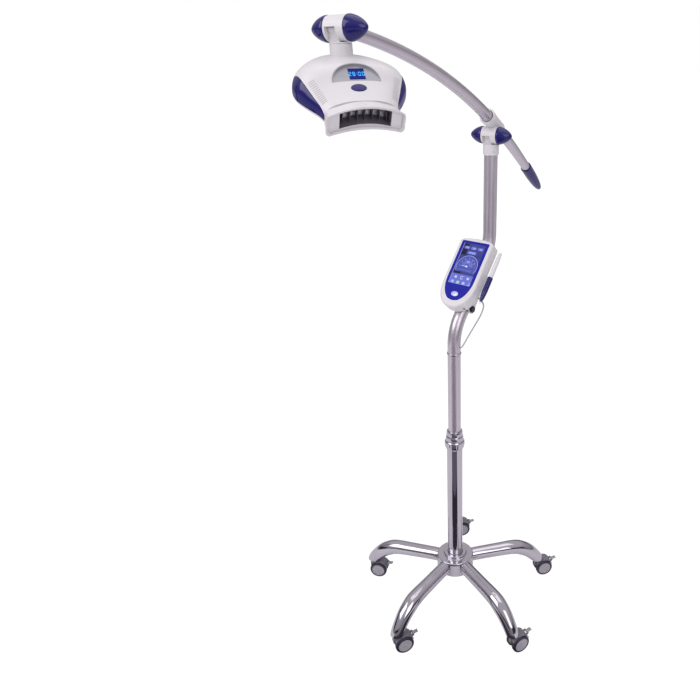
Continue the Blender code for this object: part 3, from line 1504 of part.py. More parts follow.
def make_mouth(head, low):
    """Flared frame round the lamps, with a pocket and a deeper recess."""
    back = -HEAD_FRONT - GAP
    front = back - MOUTH_DEPTH
    rim = crescent(MOUTH_FRONT_HALF, MOUTH_FRONT_SIDE, MOUTH_FRONT_RISE,
                   MOUTH_FLOOR, MOUTH_ARCH, MOUTH_CORNER)
    seat = crescent(MOUTH_BACK_HALF, MOUTH_BACK_SIDE, MOUTH_BACK_RISE,
                    MOUTH_FLOOR, MOUTH_ARCH, MOUTH_CORNER)
    flare = piece("lamp_frame", prism_mesh(
        "lamp_frame", rim, front, seat, back), "white", head, low)
    inner = crescent(
        MOUTH_FRONT_HALF - MOUTH_RIM, MOUTH_FRONT_SIDE - MOUTH_RIM / 2,
        MOUTH_FRONT_RISE - MOUTH_RIM / 2, MOUTH_FLOOR - MOUTH_RIM, MOUTH_ARCH,
        MOUTH_CORNER - MOUTH_RIM / 2)
    pocket = prism_mesh("mouth_pocket", inner, front - OVERRUN, inner,
                        front + MOUTH_POCKET)
    combine(flare, tool("mouth_pocket", pocket, head, low))
    deep = crescent(RECESS_HALF, RECESS_TOP, RECESS_ARCH, RECESS_FLOOR,
                    RECESS_ARCH, BOARD_MARGIN)
    seat_share = 1 - RECESS_TAPER / RECESS_HALF
    floor = crescent(
        RECESS_HALF * seat_share, RECESS_TOP - RECESS_TAPER, RECESS_ARCH,
        RECESS_FLOOR - RECESS_TAPER, RECESS_ARCH, BOARD_MARGIN)
    recess = prism_mesh("lamp_recess", deep, front, floor, back + OVERRUN)
    combine(flare, tool("lamp_recess", recess, head, low))

    near = back + 2 * GAP
    far = near + LED_BOARD_THICKNESS
    cover = crescent(
        RECESS_HALF, RECESS_TOP - RECESS_TAPER + BOARD_MARGIN, RECESS_ARCH,
        RECESS_FLOOR - RECESS_TAPER + BOARD_MARGIN, RECESS_ARCH, BOARD_MARGIN)
    piece("led_board", prism_mesh("led_board", cover, near, cover, far),
          "dark", head, low)
    make_lenses(head, low, near - GAP)
    make_cooling(head, low, far + GAP)


def make_lenses(head, low, base):
    """One clear strip with a row of domes, in front of the lamp board."""
    reach = LED_PITCH * LED_COUNT / 2
    band = crescent(reach, LED_BAND_LOW + LED_BAND_HEIGHT, RECESS_ARCH,
                    -LED_BAND_LOW, RECESS_ARCH, BOARD_MARGIN)
    strip = piece("led_lenses", prism_mesh(
        "led_lenses", band, base - LED_STRIP, band, base), "lens", head, low)
    for i in range(LED_COUNT):
        x = (i - (LED_COUNT - 1) / 2) * LED_PITCH
        rise = LED_BAND_LOW + LED_BAND_HEIGHT / 2
        rise += RECESS_ARCH * (1 - (x / reach) ** 2)
        dome = stacked_mesh(f"led_dome_{i}", [
            (LED_RADIUS, -LED_STRIP / 2),
            *[(LED_RADIUS * r, LED_HEIGHT * z) for r, z in LED_SHARES]], 8)
        place = Vector(low) + Vector((x, base - LED_STRIP, rise))
        combine(strip, tool(f"led_dome_{i}", dome, head, place,
                            (math.pi / 2, 0, 0)), "UNION")


def make_cooling(head, low, start):
    """Heat sink behind the lamps, and the fan that blows on it."""
    middle = (SINK_LOW + SINK_HIGH) / 2
    sink = piece("heat_sink", box_mesh(
        "heat_sink", (-SINK_HALF, start, SINK_LOW),
        (SINK_HALF, start + SINK_BASE, SINK_HIGH)), "aluminium", head, low)
    reach = SINK_HALF - SINK_FIN_THICKNESS
    pitch = (2 * reach - SINK_FIN_THICKNESS) / (SINK_FIN_COUNT - 1)
    fin_end = start + SINK_BASE + SINK_FIN_LENGTH
    for i in range(SINK_FIN_COUNT):
        x = -reach + i * pitch
        fin = box_mesh(
            f"sink_fin_{i}",
            (x, start + SINK_BASE / 2, SINK_LOW + SINK_FIN_THICKNESS),
            (x + SINK_FIN_THICKNESS, fin_end, SINK_HIGH - SINK_FIN_THICKNESS))
        combine(sink, tool(f"sink_fin_{i}", fin, head, low), "UNION")
    post = rod_mesh("fan_post", FAN_HUB_RADIUS,
                    (0, start + SINK_BASE / 2, middle),
                    (0, fin_end + FAN_STAND_OFF, middle), 14)
    combine(sink, tool("fan_post", post, head, low), "UNION")
    bore = rod_mesh("fan_bore", FAN_SHAFT_RADIUS + GAP,
                    (0, fin_end - SINK_FIN_LENGTH * SINK_BORE_SHARE, middle),
                    (0, fin_end + OVERRUN, middle), 12)
    combine(sink, tool("fan_bore", bore, head, low))

    hub_at = Vector(low) + Vector(
        (0, fin_end + FAN_STAND_OFF + GAP, middle))
    fan = piece("cooling_fan", rod_mesh(
        "cooling_fan", FAN_HUB_RADIUS, (0, 0, 0), (0, FAN_THICKNESS, 0), 14),
        "dark", head, hub_at)
    shaft = rod_mesh("fan_shaft", FAN_SHAFT_RADIUS,
                     (0, -SINK_FIN_LENGTH / 2, 0), (0, FAN_THICKNESS / 2, 0),
                     12)
    combine(fan, tool("fan_shaft", shaft, head, hub_at), "UNION")
    blade = FAN_THICKNESS * FAN_BLADE_SHARE
    for i in range(FAN_BLADES):
        angle = 2 * math.pi * i / FAN_BLADES
        vane = box_mesh(
            f"fan_blade_{i}",
            (FAN_HUB_RADIUS / 2, FAN_THICKNESS * FAN_BLADE_LOW_SHARE, -blade),
            (FAN_RADIUS, FAN_THICKNESS * FAN_BLADE_HIGH_SHARE, blade))
        combine(fan, tool(f"fan_blade_{i}", vane, head, hub_at,
                          (0, angle, 0)), "UNION")


def arch_loop(width, height):
    """Half oval over a straight base."""
    steps = 12
    turns = [math.pi * i / steps for i in range(steps + 1)]
    return [(width / 2 * math.cos(a), height * math.sin(a)) for a in turns]


def make_window(head, low, shell, solid):
    """Sunk arch window with the timer, and the oval start button."""
    plane = frame("window_plane", head, (0, -WINDOW_PLACE, WINDOW_BASE),
                  (WINDOW_TILT, 0, 0))
    clear = 2 * GAP
    opening = arch_loop(WINDOW_WIDTH + clear, WINDOW_HEIGHT + GAP)
    opening = [(x, y - GAP if y < GAP else y) for x, y in opening]
    hole = as_mesh(tool("window_hole", flat_data(
        "window_hole", [opening], 2 * WINDOW_REACH), plane,
        (0, 0, WINDOW_REACH - WINDOW_THICKNESS - GAP)))
    combine(shell, hole)
    tall = WINDOW_REACH + WINDOW_THICKNESS
    bezel = as_mesh(piece("window_bezel", flat_data(
        "window_bezel", [arch_loop(WINDOW_WIDTH, WINDOW_HEIGHT)], tall),
        "light_grey", plane, (0, 0, tall / 2 - WINDOW_THICKNESS)))
    inside = arch_loop(WINDOW_WIDTH - 2 * WINDOW_RIM,
                       WINDOW_HEIGHT - WINDOW_RIM)
    inside = [(x, y - OVERRUN if y < GAP else y) for x, y in inside]
    pocket = as_mesh(tool("window_pocket", flat_data(
        "window_pocket", [inside], 2 * WINDOW_REACH), plane,
        (0, 0, WINDOW_REACH)))
    combine(bezel, pocket)
    combine(bezel, solid, "INTERSECT")
    high = DISPLAY_PLACE + DISPLAY_HEIGHT / 2
    base = DISPLAY_PLACE - DISPLAY_HEIGHT / 2
    slot = box_mesh(
        "display_slot", (-DISPLAY_WIDTH / 2 - GAP, base - GAP, -tall),
        (DISPLAY_WIDTH / 2 + GAP, high + GAP, tall))
    combine(bezel, tool("display_slot", slot, plane))
    piece("timer_display", box_mesh(
        "timer_display", (-DISPLAY_WIDTH / 2, base, -DISPLAY_THICKNESS),
        (DISPLAY_WIDTH / 2, high, 0)), "display", plane)

    share = (HEAD_BACK + BUTTON_PLACE) / head_length()
    seat = frame("button_seat", head, (
        0, -BUTTON_PLACE, low[2] + head_height(share)), (BUTTON_TILT, 0, 0))
    button_hole = as_mesh(tool("button_hole", flat_data(
        "button_hole", [oval(BUTTON_WIDTH + clear, BUTTON_DEPTH + clear)],
        2 * WINDOW_REACH), seat))
    combine(shell, button_hole)
    button = as_mesh(piece("start_button", flat_data(
        "start_button", [oval(BUTTON_WIDTH, BUTTON_DEPTH)], BUTTON_HEIGHT),
        "blue", seat, (0, 0, BUTTON_PROUD - BUTTON_HEIGHT / 2)))
    smooth(button.data)


def make_head(swivel):
    seam = -GAP
    foot = -NECK_COLLAR_LENGTH
    pin = SWIVEL_PIN_RADIUS + GAP
    pin_end = -SWIVEL_PIN_LENGTH - GAP
    profile = [
        (0, pin_end),
        (pin, pin_end),
        (pin, seam),
        (NECK_RADIUS, seam),
        (NECK_RADIUS, foot),
        (0, foot),
    ]
    turned("neck_collar", profile, "white", swivel, closed=False, steps=32)
    head = frame("head_frame", swivel, (HEAD_OFFSET, 0, -HEAD_DROP),
                 (HEAD_NOD, 0, 0))
    low = (0, 0, HEAD_SPLIT)
    shell = make_upper_shell(head, low)
    neck_hole = rod_mesh("neck_hole", NECK_RADIUS + GAP, (0, 0, foot * NECK_HOLE_SHARE),
                         (0, 0, NECK_COLLAR_LENGTH), 32)
    combine(shell, tool("neck_hole", neck_hole, swivel))
    make_side_panels(head, low)
    make_lower_shell(head, low)
    make_mouth(head, low)
    make_window(head, low, shell, head_solid(head, low))


def main():
    make_hub()
    make_legs()
    for i in range(LEG_COUNT):
        make_castor(i)
    make_column()
    make_mast()
    make_controller(face_frame())
    make_cable()

    pivot = frame("arm_pivot", at=(0, bend_offset(), PIVOT_HEIGHT),
                  turn=(0, 0, ARM_YAW))
    lift = Vector((0, math.sin(ARM_RISE), math.cos(ARM_RISE))) * SLEEVE_OFFSET
    clamp = frame("arm_sleeve", pivot, lift, (-ARM_RISE, 0, 0))
    make_mast_joint(pivot, clamp)
    roll = frame("arm_roll", clamp, turn=(0, -ARM_ROLL, 0))
    make_arm(roll)

    level = ARM_REACH / ARM_BEND_RADIUS
    joint = frame("head_joint", roll, arm_point(ARM_REACH), (level, 0, 0))
    neck = frame("neck_tilt", joint, turn=(ARM_RISE - level - NECK_LEAN, 0, 0))
    make_head_joint(joint, neck)
    swivel = frame("head_swivel", neck, (0, 0, -NECK_SEAM), (0, 0, HEAD_TURN))
    make_head(swivel)


main()
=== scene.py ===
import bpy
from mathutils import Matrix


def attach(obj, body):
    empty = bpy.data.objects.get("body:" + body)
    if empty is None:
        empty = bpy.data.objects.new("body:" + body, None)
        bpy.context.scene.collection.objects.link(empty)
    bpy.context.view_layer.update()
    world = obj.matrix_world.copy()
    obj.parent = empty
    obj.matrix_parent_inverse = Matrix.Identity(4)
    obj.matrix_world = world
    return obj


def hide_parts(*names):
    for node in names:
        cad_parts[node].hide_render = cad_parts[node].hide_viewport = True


bl_info = {
    "name": "Teeth whitening lamp",
    "version": (1, 0, 0),
    "blender": (4, 5, 0),
    "location": "View3D > Sidebar > Lamp",
    "description": "Dresses the CAD frame of a teeth whitening lamp on a castor stand",
    "category": "Add Mesh",
}

import math

import bmesh
import bpy
from mathutils import Matrix, Vector

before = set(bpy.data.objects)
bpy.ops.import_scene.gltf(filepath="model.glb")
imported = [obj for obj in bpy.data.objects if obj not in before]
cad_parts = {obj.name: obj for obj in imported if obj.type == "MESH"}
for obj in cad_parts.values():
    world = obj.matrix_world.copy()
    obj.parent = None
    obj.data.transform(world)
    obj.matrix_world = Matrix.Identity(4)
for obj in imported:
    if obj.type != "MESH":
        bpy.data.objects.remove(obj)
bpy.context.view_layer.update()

# Shared values, in metres, as in the part's source
GAP = 0.0003
TINY = 0.000001
# How far a cutting tool runs past what it cuts
OVERRUN = 0.004
SLOT_END = 0.0009

# Star base
LEG_COUNT = 5
BACK_LEG_ANGLE = math.radians(124.5)
CASTOR_RADIUS = 0.2555
LEG_RADIUS = 0.0182
LEG_TIP_HEIGHT = 0.0545
LEG_ROOT_HEIGHT = 0.1225
LEG_SHARES = [
    (0.145, 0.00, 1.00), (0.220, 0.00, 1.00), (0.340, 0.02, 1.01),
    (0.520, 0.06, 1.04), (0.640, 0.09, 1.08), (0.730, 0.15, 1.12),
    (0.800, 0.27, 1.12), (0.870, 0.45, 1.08), (0.940, 0.72, 1.00),
    (0.985, 0.95, 0.95), (1.000, 1.15, 0.95),
]
HUB_RADIUS = 0.0505
HUB_BOTTOM = 0.0980
HUB_TOP = 0.1420
HUB_RING_RADIUS = 0.0310
HUB_RING_HEIGHT = 0.0080
HUB_FLOOR = 0.0060

# Castors
WHEEL_RADIUS = 0.0245
WHEEL_WIDTH = 0.0130
WHEEL_INNER = 0.0062
DISC_RADIUS = 0.0190
AXLE_RADIUS = 0.0030
CASTOR_TRAIL = 0.0170
HOOD_GAP = 0.0010
HOOD_WALL = 0.0017
HOOD_HALF_WIDTH = 0.0150
HOOD_START = math.radians(20)
HOOD_END = math.radians(150)
WEB_SHARES = [(-0.45, -0.42), (0.30, -0.55), (0.85, -0.10)]
WEB_HALF = 0.0040
BOSS_RADIUS = 0.0105
STEM_RADIUS = 0.0055
STEM_RISE = 0.0120
AXLE_BOSS_RADIUS = 0.0062
AXLE_BOSS_HALF = 0.0058
BRAKE_PIN_RADIUS = 0.0014
BRAKE_WIDTH = 0.0100
BRAKE_LENGTH = 0.0150
BRAKE_THICKNESS = 0.0030
BRAKE_RISE = math.radians(12)
BRAKE_RIBS = (0.0085, 0.0107, 0.0129)
BRAKE_RIB_WIDTH = 0.0008
EAR_RADIUS = 0.0034
EAR_THICKNESS = 0.0024
CASTOR_TURNS = [math.radians(a) for a in (44.5, 25.0, 58.5, 65.0, 51.0)]

# Column and mast
LOWER_TUBE_RADIUS = 0.0205
LOWER_TUBE_WALL = 0.0018
COLLAR_TOP = 0.5400
COLLAR_LENGTH = 0.0515
COLLAR_BOTTOM = COLLAR_TOP - COLLAR_LENGTH
LOWER_TUBE_TOP = COLLAR_TOP - 0.0250
TUBE_RADIUS = 0.0163
TUBE_WALL = 0.0016
INNER_TUBE_BOTTOM = LOWER_TUBE_TOP - 0.2150
COLLAR_RADIUS = 0.0262
COLLAR_FLUTES = 18
COLLAR_FLUTE_DEPTH = 0.0007
COLLAR_GRIP = (0.80, 0.62)
# Share of the collar's radius, and share of its length from the top
COLLAR_SHARES = [
    (0.76, 0.00), (0.80, 0.08), (0.80, 0.24), (0.86, 0.30), (0.885, 0.40), (0.87, 0.43),
    (0.89, 0.47), (0.90, 0.52), (0.98, 0.58), (1.00, 0.64), (1.00, 0.78), (0.95, 0.90),
    (0.88, 1.00),
]
RING_HEIGHT = 0.7590
RING_THICKNESS = 0.0060
RING_RADIUS = 0.0180
RING_PLUG = 0.0165
RING_BORE = 0.0080
BEND_START = RING_HEIGHT + 0.0215
BEND_RADIUS = 0.0992
BEND_LEAN = math.radians(41.6)
BEND_STRAIGHT = 0.1580
PIVOT_HEIGHT = RING_HEIGHT + 0.5025
MAST_TOP = PIVOT_HEIGHT - 0.0245

# Controller
FACE_OFFSET = 0.0519
FACE_RISE = 0.0210
FACE_SIDE = -0.0060
CASE_WIDTH = 0.0960
CASE_TOP = 0.0890
CASE_TIP = 0.0960
CASE_FRONT_DEPTH = 0.0165
CASE_BACK_DEPTH = 0.0145
CASE_EDGE = 0.0050
BACK_EDGE = 0.0007
LIP_INSET = 0.0014
BACK_SWELL = 0.0028
BACK_MIDDLE_HALF = 0.0195
BACK_VENTS = 7
BACK_VENT_PITCH = 0.0046
CASE_SCREWS = [(-0.038, 0.060), (0.038, 0.060), (-0.030, -0.062), (0.030, -0.062)]
BEZEL_WIDTH = 0.0780
BEZEL_TOP = 0.0790
BEZEL_TIP = 0.0790
SCREEN_WIDTH = 0.0620
SCREEN_TOP = 0.0730
SCREEN_BOTTOM = -0.0365
BADGE_WIDTH = 0.0200
BADGE_HEIGHT = 0.0130
BADGE_PLACE = -0.0620
CASE_SHARES = [
    (0.00, 1.00), (0.45, 0.985), (0.80, 0.955), (0.95, 0.90), (1.00, 0.80),
    (1.00, 0.30), (1.00, -0.30), (0.985, -0.48), (0.90, -0.66),
    (0.72, -0.83), (0.46, -0.945), (0.22, -0.99), (0.00, -1.00),
]
BEZEL_SHARES = [
    (0.00, 1.00), (0.96, 1.00), (1.00, 0.96), (1.00, 0.40), (1.00, -0.30),
    (0.97, -0.46), (0.87, -0.64), (0.69, -0.81), (0.44, -0.94),
    (0.21, -0.985), (0.00, -1.00),
]
BRACKET_HALF_WIDTH = 0.0200
BRACKET_TOP = 0.0250
BRACKET_BOTTOM = -0.0850
BRACKET_BACK = 0.0060
CLAMP_KNOB_RADIUS = 0.0085
CLAMP_KNOB_LENGTH = 0.0085
CLAMP_KNOB_PLACE = -0.0740
CLAMP_LOBES = 8
CLAMP_LOBE_DEPTH = 0.0006
CLAMP_SCREW_RADIUS = 0.0025
BRACKET_EDGE = 0.0040
STYLUS_RADIUS = 0.0056
STYLUS_TOP = 0.0720
STYLUS_TIP = -0.0650
STYLUS_SIDE = 0.0140
STYLUS_DEPTH = 0.0230
HOLDER_LENGTH = 0.0260
HOLDER_WALL = 0.0018
HOLDER_PLACE = 0.0180
CABLE_RADIUS = 0.0019
CABLE_ROUTE = [
    (0.0340, 0.0457, 0.9002), (0.0341, 0.0487, 0.8976),
    (0.0352, 0.0524, 0.8940), (0.0405, 0.0545, 0.8900),
    (0.0490, 0.0510, 0.8850), (0.0555, 0.0450, 0.8800),
    (0.0567, 0.0400, 0.8730), (0.0552, 0.0370, 0.8650),
    (0.0520, 0.0332, 0.8545), (0.0466, 0.0280, 0.8413),
    (0.0395, 0.0218, 0.8245), (0.0305, 0.0130, 0.8023),
    (0.0248, 0.0062, 0.7868), (0.0215, 0.0015, 0.7795),
    (0.0167, 0.0008, 0.7775),
]

# Picture on the touch screen: its layers lie on the glass
GLASS_TOP = -0.0003
INK_LAYER = 0.00006
DIAL_CENTRE = (0.0012, 0.0117)
DIAL_RADIUS = 0.0295
DIAL_START = math.radians(-31)
DIAL_END = math.radians(211)
READOUT_SHARES = (0.20, 0.51, 0.82)
READOUT_PLACE = 0.0610
TIME_PLACE = (0.0006, 0.0484)
KEY_ROWS = (-0.0190, -0.0321)

# Pivots and arm
BARREL_RADIUS = 0.0196
BARREL_LENGTH = 0.0380
SLOT_WIDTH = 0.0200
SLOT_SIDE = -0.0050
TONGUE_RADIUS = 0.0115
TONGUE_HALF = 0.0092
BOLT_HOLE = 0.0043
BOLT_RADIUS = 0.0040
KNOB_RADIUS = 0.0202
KNOB_LENGTH = 0.0336
KNOB_SHARES = [
    (0.00, 1.00), (0.12, 0.98), (0.36, 0.87), (0.62, 0.67), (0.83, 0.44),
    (0.97, 0.19), (1.00, 0.05), (0.985, 0.00),
]
POST_RADIUS = 0.0190
POST_LENGTH = 0.0445
POST_EDGE = 0.0012
POST_GROOVE = 0.0165
ARM_YAW = math.radians(6.5)
ARM_RISE = math.radians(29.57)
ARM_ROLL = math.radians(2.5)
ARM_BEND_RADIUS = 1.610
ARM_REACH = 0.607
ARM_TAIL = 0.250
ARM_TAIL_BEND = 2.200
ARM_RADIUS = 0.0133
ARM_HEAD_RADIUS = 0.0104
ARM_TAIL_RADIUS = 0.0112
ARM_WALL = 0.0015
ARM_TIP_LENGTH = 0.1150
ARM_TIP_RADIUS = 0.0142
ARM_TIP_CUP = 0.0120
ARM_TIP_SHARES = [
    (1.00, 0.10), (0.96, 0.36), (0.84, 0.62), (0.66, 0.82), (0.44, 0.94),
    (0.20, 0.99),
]
SLEEVE_OFFSET = 0.0280
SLEEVE_LENGTH = 0.0620
SLEEVE_WALL = 0.0022
SLEEVE_PLAY = 0.0011
SLEEVE_FLARE = 0.0025
SLEEVE_LEAD = 0.0110
NECK_STUB = 0.0260

# Neck and head
NECK_LEAN = math.radians(1.25)
NECK_RADIUS = 0.0178
NECK_PIN_RADIUS = 0.0080
NECK_PIN_LENGTH = 0.0100
NECK_TOP = BARREL_RADIUS + 0.0005
NECK_SEAM = NECK_TOP + 0.0020
NECK_COLLAR_LENGTH = 0.0300
HEAD_TURN = math.radians(49.3)
HEAD_NOD = math.radians(29.8)
HEAD_DROP = 0.0039
HEAD_OFFSET = 0.0025
HEAD_WIDTH = 0.1774
HEAD_BACK = 0.0320
HEAD_FRONT = 0.1270
HEAD_SPLIT = -0.0457
HEAD_HEIGHT = 0.0509
HEAD_DEPTH = 0.0120
HEAD_WALL = 0.0026
HEAD_POWER = 2.5
PANEL_START = 0.33
HEAD_SPINE_START = 0.48
HEAD_SHARES = [
    (0.000, 0.000), (0.021, 0.253), (0.063, 0.451), (0.126, 0.607),
    (0.210, 0.743), (0.315, 0.875), (0.420, 0.962), (0.525, 1.000),
    (0.630, 0.990), (0.714, 0.935), (0.819, 0.825), (0.914, 0.715),
    (1.000, 0.650),
]
CROWN_SHARES = [
    (0.000, 0.653), (0.158, 0.714), (0.315, 0.821), (0.473, 0.953),
    (0.540, 1.000), (0.610, 1.025), (0.683, 0.955), (0.767, 0.800),
    (0.861, 0.684), (0.966, 0.593), (1.000, 0.572),
]
PANEL_SHARES = [
    (0.330, 0.00), (0.380, 0.12), (0.420, 0.19), (0.520, 0.30), (0.610, 0.335), (0.725, 0.340),
    (0.830, 0.300), (0.925, 0.225), (0.985, 0.155), (1.000, 0.125),
]
MOUTH_DEPTH = 0.0256
MOUTH_FRONT_HALF = 0.0610
MOUTH_FRONT_SIDE = 0.0200
MOUTH_FRONT_RISE = 0.0148
MOUTH_BACK_HALF = 0.0568
MOUTH_BACK_SIDE = 0.0145
MOUTH_BACK_RISE = 0.0140
MOUTH_FLOOR = 0.0120
MOUTH_ARCH = 0.0085
MOUTH_RIM = 0.0040
MOUTH_POCKET = 0.0050
MOUTH_CORNER = 0.0070
MOUTH_LIP = 0.0012
MOUTH_FLARE = 1.7
# Shares of the mouth's depth that get an outline, and how far its rim's last three step in
MOUTH_STEPS = (0.0, 0.03, 0.1, 0.25, 0.45, 0.65, 0.85, 0.95)
MOUTH_RIM_STEPS = ((0.0003, 0.98), (0.0010, 0.995), (0.0018, 1.0))
RECESS_HALF = 0.0402
RECESS_TOP = 0.0228
RECESS_FLOOR = 0.0032
RECESS_ARCH = 0.0060
RECESS_TAPER = 0.0032
LED_COUNT = 6
LED_PITCH = 0.0113
LED_RADIUS = 0.0045
LED_HEIGHT = 0.0030
LED_STRIP = 0.0012
LED_BAND_LOW = 0.0014
LED_BAND_HEIGHT = 0.0102
LED_BOARD = 0.0020
CELL_HALF = 0.00035
CELL_SETBACK = 0.0060
CELL_MARGIN = 0.0006
# Where the liner's outer and inner faces stand in the recess
LINER_FACES = (0.0003, 0.0010)
WINDOW_WIDTH = 0.0745
WINDOW_HEIGHT = 0.0310
WINDOW_PLACE = 0.0905
WINDOW_BASE = -0.0070
WINDOW_TILT = math.radians(19.0)
WINDOW_THICKNESS = 0.0024
WINDOW_RIM = 0.0014
WINDOW_REACH = 0.0160
DISPLAY_WIDTH = 0.0265
DISPLAY_HEIGHT = 0.0180
DISPLAY_THICKNESS = 0.0060
DISPLAY_PLACE = 0.0130
DISPLAY_SHIFT = 0.0026
DISPLAY_EXTRA = 0.0022
BUTTON_WIDTH = 0.0235
BUTTON_DEPTH = 0.0135
BUTTON_HEIGHT = 0.0060
BUTTON_PLACE = 0.1027
BUTTON_TILT = math.radians(18.0)
BUTTON_PROUD = 0.0012
PLUG_SHARE = 0.335
PLUG_SIZE = 0.0112
TRAY_VENTS = 9
TRAY_VENT_START = -0.052
TRAY_VENT_PITCH = 0.0048
FLANK_VENT_START = 0.70
FLANK_VENT_SPAN = 0.22
FLANK_VENT_RISE = 0.06

# Stage: cards as name, place and size, and the wedge as reach and its two edges in degrees
FLOOR_WHITE = 0.86
FILL_BELOW = 0.55
FILL_ABOVE = 1.9
UPRIGHT_CARDS = (
    ("card_left", (-1.7, -1.2, 0.42), (1.5, 0.42)),
    ("card_right", (1.9, -0.2, 0.45), (1.6, 0.5)),
    ("card_front", (0.5, -2.3, 0.45), (1.8, 0.34)),
    ("card_tall", (-2.4, -1.0, 1.3), (0.35, 1.3)),
    ("card_back", (-0.4, 2.2, 0.5), (1.6, 0.4)),
)
WEDGE_FACING = math.radians(-55)
FLOOR_WEDGE = ((0.28, -44, 40), (0.62, -40, 36), (1.2, -40, 32), (1.9, -54, 22), (3.2, -20, 6))
WEDGE_TONES = ("#221f2b", "#6a6572", "#77727f", "#77727f")

# Camera, worked out from the photograph
CAMERA_PLACE = (0.8784, -1.2409, 1.4576)
CAMERA_DOWN = math.radians(23.08)
CAMERA_TURN = math.radians(34.5)
CAMERA_LENS = 34.971
CAMERA_SHIFT = (-0.161, -0.0229)
VIEW_END = 200


# Small tools


def turn_about(at=(0, 0, 0), turn=(0, 0, 0), carrier=None):
    """The place of a joint frame: a shift and Euler turns on its carrier."""
    x, y, z = turn
    spin = Matrix.Rotation(z, 4, "Z") @ Matrix.Rotation(y, 4, "Y") @ Matrix.Rotation(x, 4, "X")
    own = Matrix.Translation(at) @ spin
    return carrier @ own if carrier is not None else own


def spaced(start, stop, steps):
    """Evenly spaced values, both ends included."""
    return [start + (stop - start) * k / steps for k in range(steps + 1)]


def arc(radius, turns, centre=(0, 0)):
    """Points of a circle at the given angles."""
    return [(centre[0] + radius * math.cos(a), centre[1] + radius * math.sin(a)) for a in turns]


def skin(bm, rings):
    """Quads between each closed ring of points and the next."""
    for a, b in zip(rings, rings[1:]):
        for k in range(len(a)):
            j = (k + 1) % len(a)
            bm.faces.new((a[k], a[j], b[j], b[k]))


def shade(mesh, crease):
    """Smooth shading that breaks at edges sharper than the crease, in degrees."""
    mesh.shade_smooth()
    mesh.set_sharp_from_angle(angle=math.radians(crease))


def object_of(name, bm, place=None, crease=35):
    """Closes a bmesh into a smooth-shaded object at its place."""
    bmesh.ops.remove_doubles(bm, verts=bm.verts, dist=TINY)
    bmesh.ops.dissolve_degenerate(bm, edges=bm.edges, dist=TINY)
    bmesh.ops.recalc_face_normals(bm, faces=bm.faces)
    mesh = bpy.data.meshes.new(name)
    bm.to_mesh(mesh)
    bm.free()
    if place is not None:
        mesh.transform(place)
        if place.determinant() < 0:
            mesh.flip_normals()
    shade(mesh, crease)
    obj = bpy.data.objects.new(name, mesh)
    bpy.context.scene.collection.objects.link(obj)
    return obj


def rounded(points, radius, steps=4):
    """A profile with every inner corner rounded."""
    made = [tuple(points[0])]
    for before, here, after in zip(points, points[1:], points[2:]):
        p, a, b = Vector(here), Vector(before), Vector(after)
        to_a, to_b = a - p, b - p
        cut = min(radius, 0.45 * to_a.length, 0.45 * to_b.length)
        if cut < TINY:
            made.append(tuple(here))
            continue
        start, stop = p + to_a.normalized() * cut, p + to_b.normalized() * cut
        for k in range(steps + 1):
            t = k / steps
            made.append(tuple(start * (1 - t) ** 2 + 2 * p * t * (1 - t) + stop * t ** 2))
    made.append(tuple(points[-1]))
    return made


def revolved(name, profile, place=None, steps=72, crease=35, ripple=None):
    """A turned piece about its Z axis. Ripple shifts a radius by its angle."""
    bm = bmesh.new()
    rings = []
    for radius, height in profile:
        if radius < TINY:
            rings.append([bm.verts.new((0, 0, height))])
            continue
        ring = []
        for k in range(steps):
            a = 2 * math.pi * k / steps
            r = radius + (ripple(a, radius, height) if ripple else 0)
            ring.append(bm.verts.new((r * math.cos(a), r * math.sin(a), height)))
        rings.append(ring)
    pairs = list(zip(rings, rings[1:]))
    if len(rings[0]) > 1:
        pairs.append((rings[-1], rings[0]))
    for a, b in pairs:
        for k in range(steps):
            j = (k + 1) % steps
            if len(a) == 1 and len(b) == 1:
                continue
            if len(a) == 1:
                bm.faces.new((a[0], b[k], b[j]))
            elif len(b) == 1:
                bm.faces.new((a[k], b[0], a[j]))
            else:
                bm.faces.new((a[k], b[k], b[j], a[j]))
    return object_of(name, bm, place, crease)


def smooth_path(points, per_span):
    """Points of a smooth curve through the given places."""
    places = [Vector(p) for p in points]
    ends = [2 * places[0] - places[1], *places, 2 * places[-1] - places[-2]]
    made = []
    for i in range(len(places) - 1):
        before, start, stop, after = ends[i:i + 4]
        for k in range(per_span):
            t = k / per_span
            made.append(0.5 * (
                2 * start + (stop - before) * t
                + (2 * before - 5 * start + 4 * stop - after) * t ** 2
                + (3 * start - before - 3 * stop + after) * t ** 3))
    made.append(places[-1])
    return made


def smooth_flat(points, per_span):
    """The same in a plane."""
    return [tuple(p.xy) for p in smooth_path([(*p, 0) for p in points], per_span)]


def swept(name, points, radii, place=None, sides=48, wall=0.0, crease=35):
    """A round tube along a path. With a wall it is hollow, else it is solid."""
    bm = bmesh.new()
    points = [Vector(p) for p in points]
    along = (points[1] - points[0]).normalized()
    side = along.orthogonal().normalized()
    outer, inner = [], []
    for i, point in enumerate(points):
        ahead = points[min(i + 1, len(points) - 1)] - points[max(i - 1, 0)]
        ahead.normalize()
        side = (side - ahead * side.dot(ahead)).normalized()
        other = ahead.cross(side)
        for rings, less in ((outer, 0.0), (inner, wall)):
            rings.append([bm.verts.new(
                point + (side * math.cos(2 * math.pi * k / sides)
                         + other * math.sin(2 * math.pi * k / sides)) * (radii[i] - less))
                for k in range(sides)])
        if not wall:
            for v in inner.pop():
                bm.verts.remove(v)
    skin(bm, outer)
    skin(bm, inner)
    for end in (0, -1):
        if wall:
            for k in range(sides):
                j = (k + 1) % sides
                bm.faces.new((outer[end][k], outer[end][j], inner[end][j], inner[end][k]))
        else:
            bm.faces.new(outer[end])
    return object_of(name, bm, place, crease)


